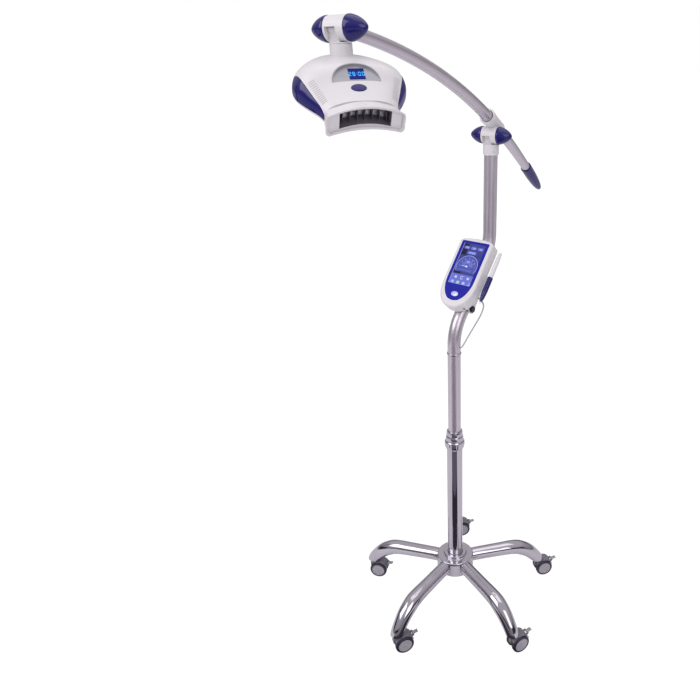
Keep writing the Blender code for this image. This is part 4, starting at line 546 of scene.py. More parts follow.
def inset_loop(loop, amount):
    """A closed loop moved inwards by an amount, corner by corner."""
    if not amount:
        return [Vector(p) for p in loop]
    pts = [Vector(p) for p in loop]
    area = sum(a.x * b.y - b.x * a.y for a, b in zip(pts, pts[1:] + pts[:1]))
    sign = 1 if area > 0 else -1
    made = []
    for i, p in enumerate(pts):
        a = (p - pts[i - 1]).normalized()
        b = (pts[(i + 1) % len(pts)] - p).normalized()
        normal = Vector((-(a.y + b.y), a.x + b.x)).normalized()
        spread = max(normal.dot(Vector((-a.y, a.x))), 0.5)
        made.append(p + normal * sign * amount / spread)
    return made


def plate(name, loop, low, high, edge=0.0, edge_low=None, place=None, steps=4, crease=35,
          crown=0.0):
    """A flat piece from a closed outline, with rounded edges, and domed by its crown."""
    edge_low = edge if edge_low is None else edge_low
    rings = []
    quarter = spaced(0, math.pi / 2, steps)
    for a in quarter:
        rings.append((edge_low * (1 - math.sin(a)), low + edge_low * (1 - math.cos(a))))
    for a in quarter:
        rings.append((edge * (1 - math.cos(a)), high - edge * (1 - math.sin(a))))
    bm = bmesh.new()
    made = []
    for inset, height in rings:
        made.append([bm.verts.new((p.x, p.y, height)) for p in inset_loop(loop, inset)])
    skin(bm, made)
    bm.faces.new(list(reversed(made[0])))
    top = bm.faces.new(made[-1])
    if crown:
        middle = sum((v.co for v in made[-1]), Vector()) / len(made[-1])
        last = made[-1]
        bmesh.ops.delete(bm, geom=[top], context="FACES_ONLY")
        for k in range(1, 7):
            share = k / 7
            ring = [bm.verts.new((
                *(v.co.lerp(middle, share)).xy, high + crown * (1 - (1 - share) ** 2)))
                for v in made[-1]]
            skin(bm, [last, ring])
            last = ring
        bm.faces.new(last)
    return object_of(name, bm, place, crease)


def mirrored(half):
    """A closed loop from the right half of an outline, top to bottom."""
    return half + [(-x, y) for x, y in reversed(half) if x > TINY]


def oval(width, height, count=72, centre=(0, 0)):
    """Outline of an ellipse."""
    return [(centre[0] + width / 2 * math.cos(2 * math.pi * i / count),
             centre[1] + height / 2 * math.sin(2 * math.pi * i / count)) for i in range(count)]


def soft_box(width, height, radius, centre=(0, 0), steps=4):
    """Rectangle outline with round corners."""
    loop = []
    for cx, cy, start in ((1, 1, 0), (-1, 1, 1), (-1, -1, 2), (1, -1, 3)):
        for k in range(steps + 1):
            a = math.pi / 2 * (start + k / steps)
            loop.append((centre[0] + cx * (width / 2 - radius) + radius * math.cos(a),
                         centre[1] + cy * (height / 2 - radius) + radius * math.sin(a)))
    return loop


def join(name, objs):
    """Several closed bodies as one piece."""
    bm = bmesh.new()
    for obj in objs:
        obj.data.transform(obj.matrix_world)
        bm.from_mesh(obj.data)
        bpy.data.objects.remove(obj)
    mesh = bpy.data.meshes.new(name)
    bm.to_mesh(mesh)
    bm.free()
    obj = bpy.data.objects.new(name, mesh)
    bpy.context.scene.collection.objects.link(obj)
    return obj


def cut(obj, *tools, operation="DIFFERENCE", crease=35):
    """Applies one boolean after another, and removes the tools."""
    for tool in tools:
        step = obj.modifiers.new("cut", "BOOLEAN")
        step.operation = operation
        step.object = tool
        step.solver = "EXACT"
    bpy.context.view_layer.update()
    seen = obj.evaluated_get(bpy.context.evaluated_depsgraph_get())
    mesh = bpy.data.meshes.new_from_object(seen)
    obj.modifiers.clear()
    obj.data = mesh
    bm = bmesh.new()
    bm.from_mesh(mesh)
    bmesh.ops.remove_doubles(bm, verts=bm.verts, dist=TINY)
    bmesh.ops.dissolve_degenerate(bm, edges=bm.edges, dist=TINY)
    bm.to_mesh(mesh)
    bm.free()
    shade(mesh, crease)
    for tool in set(tools):
        bpy.data.objects.remove(tool)
    return obj


def rod(name, radius, start, end, place=None, sides=48):
    """A round bar between two points, for cutting and joining."""
    return swept(name, [start, end], [radius, radius], place, sides)


def block(name, low, high, place=None, edge=0.0):
    """A box with rounded upright edges and softened rims."""
    loop = soft_box(high[0] - low[0], high[1] - low[1], max(edge, TINY * 20),
                    ((low[0] + high[0]) / 2, (low[1] + high[1]) / 2))
    return plate(name, loop, low[2], high[2], edge, edge, place)


def fit(obj, body, finish, *nodes):
    """Gives a piece its finish, its body, its slot and the CAD it stands for."""
    obj.data.materials.clear()
    obj.data.materials.append(finishes()[finish])
    if obj.type == "MESH":
        even = obj.modifiers.new("even_normals", "WEIGHTED_NORMAL")
        even.keep_sharp = True
    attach(obj, body)
    if nodes:
        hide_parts(*nodes)


def carry(node, finish):
    """A CAD node that stays as it is, with a better finish."""
    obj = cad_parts[node]
    obj.data.materials.clear()
    obj.data.materials.append(finishes()[finish])


# Materials


def linear(code):
    """An sRGB hex value as a linear colour."""
    parts = [int(code[i:i + 2], 16) / 255 for i in (1, 3, 5)]
    return (*[c / 12.92 if c <= 0.04045 else ((c + 0.055) / 1.055) ** 2.4 for c in parts], 1.0)


def hex_of(colour):
    """The sRGB hex value of a linear colour."""
    parts = [12.92 * c if c <= 0.0031308 else 1.055 * c ** (1 / 2.4) - 0.055 for c in colour[:3]]
    return "#" + "".join(f"{round(max(0, min(1, c)) * 255):02x}" for c in parts)


def add(tree, kind, settings=None, values=None, links=None):
    """Adds one node with its settings, its values and its links."""
    node = tree.nodes.new(kind)
    for name, value in (settings or {}).items():
        setattr(node, name, value)
    for name, value in (values or {}).items():
        node.inputs[name].default_value = value
    for name, source in (links or {}).items():
        tree.links.new(source, node.inputs[name])
    return node


def surface(name, tones, patch, rough, grain, relief, metallic=0.0, stretch=(1, 1, 1),
            sockets=None):
    """Two close tones in soft patches, roughness that wanders, a fine relief.

    Patch and grain are sizes in millimetres, and relief is a height in metres.
    """
    made = bpy.data.materials.new(name)
    made.use_nodes = True
    tree = made.node_tree
    shader = tree.nodes["Principled BSDF"]
    shader.inputs["Metallic"].default_value = metallic
    for socket, value in (sockets or {}).items():
        shader.inputs[socket].default_value = value
    where = add(tree, "ShaderNodeTexCoord")
    spread = add(tree, "ShaderNodeMapping", values={"Scale": stretch},
                 links={"Vector": where.outputs["Object"]})
    clouds = add(tree, "ShaderNodeTexNoise",
                 values={"Scale": 1000 / patch, "Detail": 3.0},
                 links={"Vector": spread.outputs["Vector"]})
    tone = add(tree, "ShaderNodeMix", {"data_type": "RGBA"}, links={
        "Factor": clouds.outputs["Fac"]})
    tone.inputs[6].default_value = linear(tones[0])
    tone.inputs[7].default_value = linear(tones[1])
    tree.links.new(tone.outputs[2], shader.inputs["Base Color"])
    shine = add(tree, "ShaderNodeMapRange",
                values={"From Min": 0.3, "From Max": 0.7, "To Min": rough[0], "To Max": rough[1]},
                links={"Value": clouds.outputs["Fac"]})
    tree.links.new(shine.outputs["Result"], shader.inputs["Roughness"])
    fine = add(tree, "ShaderNodeTexNoise",
               values={"Scale": 1000 / grain, "Detail": 2.0},
               links={"Vector": spread.outputs["Vector"]})
    bump = add(tree, "ShaderNodeBump", values={"Strength": 1.0, "Distance": relief},
               links={"Height": fine.outputs["Fac"]})
    tree.links.new(bump.outputs["Normal"], shader.inputs["Normal"])
    return made


def lit(name, tones, strength, rough=0.12, patch=18):
    """Ink or pixels of a lit panel behind its cover: it glows a little."""
    made = surface(name, tones, patch, (rough, rough * 1.4), 3.0, 0.000002,
                   sockets={"IOR": 1.22, "Emission Strength": strength})
    tree = made.node_tree
    shader = tree.nodes["Principled BSDF"]
    source = shader.inputs["Base Color"].links[0].from_socket
    tree.links.new(source, shader.inputs["Emission Color"])
    return made


def make_finishes(stand, control, arm, head):
    """Every finish of the lamp, by its slot or use."""
    f = {}
    # Chromium plate on buffed steel: nearly a mirror, with the faint waves of buffing
    f["chrome"] = surface("chrome_plated_steel_buffed", (hex_of(stand.chrome), "#b3afb9"), 60,
                          (0.035, 0.075), 22, 0.00001, 1.0, (1, 1, 0.4))
    # Aluminium tube, bead blasted and clear anodised: a satin, faintly mauve grey. The real
    # grain is about 0.1 mm, drawn at 1.4 mm so that it shows
    f["silver"] = surface("anodised_aluminium_blasted", (hex_of(arm.tube), "#cec7d0"), 25,
                          (0.30, 0.35), 1.4, 0.0000002, 0.85, (1, 1, 0.5))
    # ABS, satin moulded: a soft white sheen with the slow ripple of a moulded wall
    f["white"] = surface("abs_white_satin_moulded", (hex_of(head.shell), "#d4d1d5"), 45,
                         (0.32, 0.40), 6.0, 0.000006, sockets={"IOR": 1.48})
    # ABS, high gloss moulded in ultramarine: deep colour under a hard clear shine
    f["blue"] = surface("abs_blue_high_gloss_moulded", (hex_of(head.accent), "#181266"), 30,
                        (0.12, 0.18), 6.0, 0.00001,
                        sockets={"IOR": 1.46, "Coat Weight": 0.08, "Coat Roughness": 0.05})
    # Polyester overlay, screen printed on its back: an even royal blue under a satin face
    f["bezel_blue"] = surface("polyester_blue_back_printed", (hex_of(control.bezel), "#1c2099"), 40,
                              (0.34, 0.42), 4.0, 0.000002, sockets={"IOR": 1.22})
    # Glass filled nylon, moulded with a fine spark texture: dull grey
    f["grey"] = surface("nylon_grey_spark_textured", (hex_of(stand.housing), "#6f6b75"), 14,
                        (0.38, 0.50), 1.2, 0.00002, sockets={"IOR": 1.53})
    # Polypropylene wheel disc, matt moulded: pale grey, lighter than the housing
    f["disc"] = surface("polypropylene_grey_matt_moulded", (hex_of(stand.disc), "#99959f"), 12,
                        (0.36, 0.46), 1.5, 0.000012, sockets={"IOR": 1.49})
    # Polyurethane tread, cast, scuffed by floors: near black with a blue cast
    f["tread"] = surface("polyurethane_tread_cast", (hex_of(stand.tread), "#2c293f"), 9,
                         (0.45, 0.62), 1.6, 0.00003, sockets={"IOR": 1.50})
    # Glass filled nylon of the brake pedal, moulded: light grey with a dull shine
    f["light_grey"] = surface("nylon_light_grey_moulded", ("#a5a2aa", "#96939c"), 12,
                              (0.34, 0.44), 1.5, 0.000015, sockets={"IOR": 1.53})
    # Polycarbonate window insert, satin moulded: cool grey
    f["window"] = surface("polycarbonate_grey_satin_moulded", (hex_of(head.window), "#a5a4ad"), 22,
                          (0.26, 0.34), 2.0, 0.000006,
                          sockets={"IOR": 1.585, "Coat Weight": 0.15, "Coat Roughness": 0.2})
    # Liquid crystal panel behind glass: deep blue, lit from behind
    f["display"] = lit("lcd_blue_backlit", (hex_of(head.timer), "#0a1670"), 0.30)
    f["digits"] = lit("lcd_digits_cyan", (hex_of(head.digits), "#46a6f2"), head.glow)
    # Toughened cover glass over the touch panel: night blue with a slow fade
    f["screen"] = lit("touch_panel_cover_glass", ("#2b2c66", "#454b92"), control.glow * 0.35, 0.16, 40)
    # Pixels of the screen's picture, each with its share of the screen's glow
    for key, name, tones, share in (
            ("panel_dark", "screen_corner_dark", ("#1b1730", "#2a2644"), 0.15),
            ("panel_blue", "screen_field_blue", ("#5058a8", "#6770bc"), 0.75),
            ("panel_light", "screen_button_light_blue", ("#7f88c8", "#969fda"), 0.85),
            ("panel_deep", "screen_dial_deep_blue", ("#3d4590", "#4c54a2"), 0.6),
            ("ink", "screen_ink_white", ("#c3c9ea", "#aab2de"), 1.0),
            ("green", "screen_icon_green", ("#7fa597", "#93b8a8"), 0.8),
            ("red", "screen_limit_red", ("#8d4a5c", "#7d4258"), 0.7)):
        f[key] = lit(name, tones, control.glow * share)
    # ABS key, vacuum metallised and lacquered: pale lavender with a soft sheen
    f["key"] = surface("abs_vacuum_metallised", ("#c3caf2", "#aeb8ea"), 6, (0.16, 0.26), 1.5,
                       0.000008, 0.25)
    # Solder mask on the lamp board: violet grey with a dull shine
    f["dark"] = surface("solder_mask_violet_grey", ("#3c3744", "#4a4552"), 8, (0.32, 0.45), 1.5,
                        0.00001, sockets={"IOR": 1.55})
    # ABS, satin moulded in navy: nearly black, with a broad dull shine
    f["navy"] = surface("abs_navy_satin_moulded", ("#121028", "#1a1838"), 10, (0.24, 0.32), 3.0,
                        0.000008, sockets={"IOR": 1.45, "Coat Weight": 0.05})
    # Shade in the vent slots of the white shell: soft grey lines without a shine
    f["vent"] = surface("vent_shadow_grey", ("#a9a6ac", "#b7b4ba"), 6, (0.5, 0.6), 2.0, 0.000004)
    # Lining of the lamp recess, ABS, satin moulded: violet grey, made darker as painted shade of the
    # deep recess
    f["liner"] = surface("abs_violet_grey_satin_recess_painted_shade", ("#5d5763", "#6d6773"), 8, (0.30, 0.42), 2.0,
                         0.000008, sockets={"IOR": 1.50})
    # Dividers between the lamps, ABS, brushed: violet grey, streaked top to bottom, and made darker as
    # painted shade of the deep recess
    f["divider"] = surface("abs_violet_grey_brushed_recess_painted_shade", ("#645e6a", "#4e4854"), 5, (0.34, 0.44),
                          1.0, 0.00001, 0.2, (2.5, 2.5, 0.25))
    # Polycarbonate lens, frosted inside: a pale dome with a small clear highlight
    f["lens"] = surface("polycarbonate_lens_frosted", ("#d9dae2", "#c3c5d0"), 4, (0.10, 0.18),
                        2.0, 0.000004, sockets={"IOR": 1.585, "Coat Weight": 0.5})
    # Soft PVC jacket, extruded: pale warm grey with a faint lengthwise line
    f["cable"] = surface("pvc_jacket_extruded", ("#bab6bd", "#aca8b0"), 10, (0.38, 0.50), 1.2,
                         0.00001, sockets={"IOR": 1.53})
    # Fibreglass board under solder mask: flat green with a weak shine
    f["board"] = surface("fibreglass_green_solder_mask", ("#1c5a35", "#24693f"), 6, (0.30, 0.42),
                         1.0, 0.00001)
    # Aluminium, milled and left plain: straight fine tool lines
    f["aluminium"] = surface("aluminium_milled_plain", ("#c6c6ca", "#b3b3b9"), 8, (0.26, 0.38),
                             0.6, 0.00001, 1.0, (0.2, 1, 1))
    return f


FINISHES = {}


def finishes():
    """The finishes, made once per run from the settings."""
    if not FINISHES:
        scene = bpy.context.scene
        FINISHES.update(make_finishes(scene.lamp_stand, scene.lamp_control, scene.lamp_arm,
                                      scene.lamp_head))
    return FINISHES


# Places of the joint frames


def bend_offset():
    """How far the mast's bend sets its top back."""
    return 2 * BEND_RADIUS * (1 - math.cos(BEND_LEAN)) + BEND_STRAIGHT * math.sin(BEND_LEAN)


def face_place():
    """Middle of the controller's face: X right, Y up the face, Z out of it."""
    rise = BEND_START + BEND_RADIUS * math.sin(BEND_LEAN) + BEND_STRAIGHT / 2 * math.cos(BEND_LEAN)
    out = Vector((0, -math.cos(BEND_LEAN), math.sin(BEND_LEAN)))
    up = Vector((0, math.sin(BEND_LEAN), math.cos(BEND_LEAN)))
    middle = Vector((0, bend_offset() / 2, rise)) + out * FACE_OFFSET + up * FACE_RISE
    middle.x = FACE_SIDE
    return turn_about(middle, (math.pi / 2 - BEND_LEAN, 0, 0))


def pivot_place():
    return turn_about((0, bend_offset(), PIVOT_HEIGHT), (0, 0, ARM_YAW))


def sleeve_place():
    lift = Vector((0, math.sin(ARM_RISE), math.cos(ARM_RISE))) * SLEEVE_OFFSET
    return turn_about(lift, (-ARM_RISE, 0, 0), pivot_place())


def arm_place():
    return turn_about((0, 0, 0), (0, -ARM_ROLL, 0), sleeve_place())


def arm_point(reach):
    """A place on the bowed arm, by its distance from the pivot towards the head."""
    radius = ARM_BEND_RADIUS if reach > 0 else ARM_TAIL_BEND
    turn = reach / radius
    return Vector((0, -radius * math.sin(turn), -radius * (1 - math.cos(turn))))


def joint_place():
    return turn_about(arm_point(ARM_REACH), (ARM_REACH / ARM_BEND_RADIUS, 0, 0), arm_place())


def neck_place():
    return turn_about((0, 0, 0), (ARM_RISE - ARM_REACH / ARM_BEND_RADIUS - NECK_LEAN, 0, 0),
                      joint_place())


def swivel_place():
    return turn_about((0, 0, -NECK_SEAM), (0, 0, HEAD_TURN), neck_place())


def head_place():
    return turn_about((HEAD_OFFSET, 0, -HEAD_DROP), (HEAD_NOD, 0, 0), swivel_place())


def split_place():
    """The head's frame at the split between its shells."""
    return turn_about((0, 0, HEAD_SPLIT), carrier=head_place())


def leg_angle(i):
    return BACK_LEG_ANGLE + i * 2 * math.pi / LEG_COUNT


def castor_place(i):
    a = leg_angle(i)
    return turn_about((CASTOR_RADIUS * math.cos(a), CASTOR_RADIUS * math.sin(a), 0),
                      (0, 0, CASTOR_TURNS[i] - math.pi / 2))


# Star base and column


def make_hub():
    """The plated hub with the seat of the column."""
    bore = LOWER_TUBE_RADIUS + GAP
    top = HUB_TOP + HUB_RING_HEIGHT
    profile = rounded([
        (0, HUB_BOTTOM + HUB_FLOOR), (bore, HUB_BOTTOM + HUB_FLOOR), (bore, top),
        (HUB_RING_RADIUS - 0.001, top), (HUB_RING_RADIUS, top - 0.002),
        (HUB_RING_RADIUS, HUB_TOP + 0.0008), (HUB_RING_RADIUS + 0.002, HUB_TOP),
        (HUB_RADIUS - 0.002, HUB_TOP), (HUB_RADIUS, HUB_TOP - 0.004),
        (HUB_RADIUS, HUB_BOTTOM + 0.002), (HUB_RADIUS - 0.002, HUB_BOTTOM), (0, HUB_BOTTOM),
    ], 0.0016, 4)
    fit(revolved("base_hub_plated", profile, steps=128), "base", "chrome", "base_hub")


def make_legs():
    drop = LEG_ROOT_HEIGHT - LEG_TIP_HEIGHT
    rows = [(CASTOR_RADIUS * s, LEG_ROOT_HEIGHT - drop * d, r) for s, d, r in LEG_SHARES]
    rows[0] = (HUB_RADIUS - 0.0127, *rows[0][1:])
    path = smooth_path(rows, 10)
    points = [Vector((p.x, 0, p.y)) for p in path]
    radii = [p.z * LEG_RADIUS for p in path]
    for i in range(LEG_COUNT):
        place = turn_about(turn=(0, 0, leg_angle(i)))
        leg = swept(f"leg_{i + 1}_plated", points, radii, place, 64)
        tip = block("leg_trim", (CASTOR_RADIUS - 0.1, -0.1, -0.05),
                    (CASTOR_RADIUS + 0.1, 0.1, LEG_TIP_HEIGHT), place)
        cut(leg, tip)
        fit(leg, "base", "chrome", f"leg_{i + 1}")


def make_castor(i):
    """One twin-wheel castor: housing, tread, discs and brake pedal."""
    number = i + 1
    place = castor_place(i)
    axle = turn_about((0, CASTOR_TRAIL, WHEEL_RADIUS), carrier=place)
    side_on = turn_about(turn=(math.pi / 2, 0, math.pi / 2), carrier=axle)
    across = turn_about(turn=(0, math.pi / 2, 0), carrier=axle)
    inner, outer = WHEEL_RADIUS + HOOD_GAP, WHEEL_RADIUS + HOOD_GAP + HOOD_WALL
    band = arc_band(inner, outer, HOOD_START, HOOD_END, (0, 0), 26)
    hood = plate("hood", band, -HOOD_HALF_WIDTH, HOOD_HALF_WIDTH, 0.0006, 0.0006, side_on, 3)
    top = LEG_TIP_HEIGHT - GAP
    foot = WHEEL_RADIUS + math.sqrt(inner ** 2 - (CASTOR_TRAIL - BOSS_RADIUS) ** 2)
    web = [
        (-CASTOR_TRAIL - BOSS_RADIUS * 0.8, (foot + top) / 2 - WHEEL_RADIUS),
        (-CASTOR_TRAIL - BOSS_RADIUS * 0.8, WHEEL_RADIUS * 0.20),
        *[(WHEEL_RADIUS * ahead, WHEEL_RADIUS * up) for ahead, up in WEB_SHARES],
    ]
    web += arc(inner + HOOD_WALL / 2, (HOOD_START, 0.7, 1.05, 1.3, math.pi / 2))
    web = smooth_flat(web + web[:1], 4)[:-1]
    middle = plate("web", web, -WEB_HALF, WEB_HALF, 0.0008, 0.0008, side_on, 3)
    boss = revolved("boss", rounded([
        (0, top), (BOSS_RADIUS, top), (BOSS_RADIUS, top - 0.003), (BOSS_RADIUS * 0.94, top - 0.0036),
        (BOSS_RADIUS * 0.94, foot - 0.001), (0, foot - 0.001)], 0.0008, 3), place, 48)
    stem = revolved("stem", rounded([
        (0, top + STEM_RISE), (STEM_RADIUS, top + STEM_RISE), (STEM_RADIUS, top - 0.002),
        (0, top - 0.002)], 0.0006, 3), place, 32)
    hub = revolved("axle_boss", rounded([
        (0, AXLE_BOSS_HALF), (AXLE_BOSS_RADIUS, AXLE_BOSS_HALF),
        (AXLE_BOSS_RADIUS, -AXLE_BOSS_HALF), (0, -AXLE_BOSS_HALF)], 0.0008, 3), across, 32)
    reach = outer + EAR_RADIUS
    tilt = HOOD_START + BRAKE_RISE
    pin_y = reach * math.cos(tilt) + CASTOR_TRAIL
    pin_z = reach * math.sin(tilt) + WHEEL_RADIUS
    pin = turn_about((0, pin_y, pin_z), carrier=place)
    ears = []
    for side in (-1, 1):
        x = side * (BRAKE_WIDTH / 2 + GAP + EAR_THICKNESS / 2)
        ear_at = turn_about((x, 0, 0), (math.pi / 2, 0, math.pi / 2), pin)
        lug = arc(EAR_RADIUS, spaced(-math.pi / 2, math.pi / 2, 12))
        lug += [(-EAR_RADIUS - HOOD_WALL / 2, EAR_RADIUS), (-EAR_RADIUS - HOOD_WALL / 2, -EAR_RADIUS)]
        lug = [(x2 * math.cos(tilt) - y2 * math.sin(tilt), x2 * math.sin(tilt) + y2 * math.cos(tilt))
               for x2, y2 in lug]
        ears.append(plate("ear", lug, -EAR_THICKNESS / 2, EAR_THICKNESS / 2, 0.0004, 0.0004,
                          ear_at, 2))
    body = join(f"castor_housing_{number}", [hood, middle, boss, stem, hub, *ears])
    fit(body, f"castor_{number}", "grey", f"castor_body_{number}")

    rims, discs = [], []
    for side in (-1, 1):
        low, high = side * WHEEL_INNER, side * (WHEEL_INNER + WHEEL_WIDTH)
        rims.append(revolved("rim", rounded([
            (DISC_RADIUS - 0.0006, high - side * 0.0002), (DISC_RADIUS + 0.0006, high),
            (WHEEL_RADIUS - 0.0022, high), (WHEEL_RADIUS, high - side * 0.0028),
            (WHEEL_RADIUS, low + side * 0.002), (WHEEL_RADIUS - 0.0016, low),
            (DISC_RADIUS - 0.0006, low)], 0.0012, 4), across, 96))
        discs.append(revolved("disc", rounded([
            (0, high - side * 0.0006), (0.0040, high - side * 0.0006), (0.0046, high - side * 0.0011),
            (DISC_RADIUS - 0.0022, high - side * 0.0011), (DISC_RADIUS - 0.0014, high - side * 0.0004),
            (DISC_RADIUS - 0.0007, high - side * 0.0004), (DISC_RADIUS - 0.0007, low + side * 0.0006),
            (0, low + side * 0.0006)], 0.0005, 3), across, 96))
    discs.append(rod("axle", AXLE_RADIUS, (0, 0, -WHEEL_INNER - 0.002),
                     (0, 0, WHEEL_INNER + 0.002), across, 24))
    tread = join(f"castor_tread_{number}", rims)
    fit(tread, f"wheels_{number}", "tread", f"castor_wheels_{number}")
    fit(join(f"castor_discs_{number}", discs), f"wheels_{number}", "disc")

    bar = rod("pin", BRAKE_PIN_RADIUS, (-BRAKE_WIDTH / 2 - 0.0022, 0, 0),
              (BRAKE_WIDTH / 2 + 0.0022, 0, 0), pin, 20)
    flat = turn_about(turn=(BRAKE_RISE, 0, 0), carrier=pin)
    pedal = block("pedal", (-BRAKE_WIDTH / 2, -0.0007, -BRAKE_THICKNESS / 2),
                  (BRAKE_WIDTH / 2, BRAKE_LENGTH, BRAKE_THICKNESS / 2), flat, 0.0009)
    ribs = [block("rib", (-BRAKE_WIDTH / 2 + 0.0012, y, BRAKE_THICKNESS / 2 - 0.0003),
                  (BRAKE_WIDTH / 2 - 0.0012, y + BRAKE_RIB_WIDTH, BRAKE_THICKNESS / 2 + 0.0004),
                  flat, 0.0002) for y in BRAKE_RIBS]
    fit(join(f"castor_pedal_{number}", [bar, pedal, *ribs]), f"brake_{number}", "light_grey",
        f"castor_brake_{number}")


def make_column():
    """The telescopic column: lower tube, lock collar, inner tube and joint ring."""
    bore = LOWER_TUBE_RADIUS - LOWER_TUBE_WALL
    foot = HUB_BOTTOM + HUB_FLOOR + GAP
    tube = revolved("column_tube_plated", rounded([
        (bore, LOWER_TUBE_TOP), (LOWER_TUBE_RADIUS, LOWER_TUBE_TOP), (LOWER_TUBE_RADIUS, foot),
        (bore, foot)], 0.0005, 3), steps=128)
    fit(tube, "base", "chrome", "lower_tube")
    carry("guide_bush", "grey")

    inner, outer = TUBE_RADIUS + GAP, LOWER_TUBE_RADIUS + GAP
    step = LOWER_TUBE_TOP + GAP
    profile = rounded([
        (inner, COLLAR_TOP),
        *[(COLLAR_RADIUS * r, COLLAR_TOP - COLLAR_LENGTH * z) for r, z in COLLAR_SHARES],
        (outer, COLLAR_BOTTOM), (outer, step), (inner, step)], 0.0008, 3)
    grip_low, grip_high = [COLLAR_TOP - COLLAR_LENGTH * share for share in COLLAR_GRIP]

    def flutes(a, radius, height):
        """Shallow grip flutes round the widest band."""
        if grip_low < height < grip_high and radius > COLLAR_RADIUS * 0.96:
            return -COLLAR_FLUTE_DEPTH * (0.5 + 0.5 * math.cos(COLLAR_FLUTES * a)) ** 2
        return 0

    fit(revolved("height_collar_plated", profile, steps=180, ripple=flutes), "height_collar",
        "chrome", "lock_collar")

    ring_low = RING_HEIGHT - RING_THICKNESS / 2
    ring_high = RING_HEIGHT + RING_THICKNESS / 2
    hollow = TUBE_RADIUS - TUBE_WALL
    fit(revolved("inner_tube_anodised", rounded([
        (hollow, ring_low - GAP), (TUBE_RADIUS, ring_low - GAP), (TUBE_RADIUS, INNER_TUBE_BOTTOM),
        (hollow, INNER_TUBE_BOTTOM)], 0.0005, 3), steps=128), "column", "silver", "inner_tube")
    plug = hollow - GAP
    fit(revolved("joint_ring_plated", rounded([
        (RING_BORE, ring_high + RING_PLUG), (plug, ring_high + RING_PLUG), (plug, ring_high),
        (RING_RADIUS - 0.0012, ring_high), (RING_RADIUS, ring_high - 0.0014),
        (RING_RADIUS, ring_low + 0.0014), (RING_RADIUS - 0.0012, ring_low), (plug, ring_low),
        (plug, ring_low - RING_PLUG), (RING_BORE, ring_low - RING_PLUG)], 0.0008, 4), steps=128),
        "column", "chrome", "joint_ring")


# Mast and controller


def mast_path(steps=20):
    """Middle line of the mast: up, out along the slope and up again."""
    start = RING_HEIGHT + RING_THICKNESS / 2 + GAP
    points = [Vector((0, 0, start)), Vector((0, 0, start + RING_PLUG))]
    for i in range(steps + 1):
        a = BEND_LEAN * i / steps
        points.append(Vector((0, BEND_RADIUS * (1 - math.cos(a)),
                              BEND_START + BEND_RADIUS * math.sin(a))))
    slope = Vector((0, math.sin(BEND_LEAN), math.cos(BEND_LEAN)))
    knee = points[-1] + slope * BEND_STRAIGHT
    centre = Vector((0, bend_offset() - BEND_RADIUS, knee.z + BEND_RADIUS * math.sin(BEND_LEAN)))
    for i in range(steps + 1):
        a = BEND_LEAN * (1 - i / steps)
        points.append(Vector((0, centre.y + BEND_RADIUS * math.cos(a),
                              centre.z - BEND_RADIUS * math.sin(a))))
    points.append(Vector((0, bend_offset(), MAST_TOP)))
    return points


def make_mast():
    points = mast_path()
    fit(swept("mast_tube_anodised", points, [TUBE_RADIUS] * len(points), sides=96,
              wall=TUBE_WALL), "mast", "silver", "mast_tube")


def case_loop(inset=0.0, per_span=8):
    """Smooth outline of the controller's case."""
    half = [(across * (CASE_WIDTH / 2 - inset),
             along * ((CASE_TOP if along > 0 else CASE_TIP) - inset)) for across, along in CASE_SHARES]
    loop = mirrored(half)
    return smooth_flat([loop[-1], *loop, loop[0], loop[1]], per_span)[per_span:-per_span - 1]


def bezel_loop(grow):
    """Outline of the bezel: straight sides and a smooth lower end."""
    width, top, tip = BEZEL_WIDTH / 2 + grow, BEZEL_TOP + grow, BEZEL_TIP + grow
    half = [(width * a, top * b) for a, b in BEZEL_SHARES if b > 0]
    half += smooth_flat([(width * a, tip * b) for a, b in BEZEL_SHARES if b < 0], 6)
    half[-1] = (0.0, -tip)
    return mirrored(half)


def clipped(loop, edge, side):
    """The part of an outline that lies beyond an upright line."""
    made = []
    for (ax, ay), (bx, by) in zip(loop, loop[1:] + loop[:1]):
        if side * (ax - edge) >= 0:
            made.append((ax, ay))
        if (side * (ax - edge) >= 0) != (side * (bx - edge) >= 0):
            made.append((edge, ay + (by - ay) * (edge - ax) / (bx - ax)))
    return made


def sheet(name, loops, low, high, place):
    """A flat piece from an outline and its holes."""
    bm = bmesh.new()
    levels = []
    for height in (low, high):
        rows = [[bm.verts.new((*tuple(p)[:2], height)) for p in loop] for loop in loops]
        edges = [bm.edges.new((row[k], row[(k + 1) % len(row)])) for row in rows
                 for k in range(len(row))]
        bmesh.ops.triangle_fill(bm, use_beauty=True, edges=edges)
        levels.append(rows)
    for walls in zip(*levels):
        skin(bm, walls)
    return object_of(name, bm, place, 30)


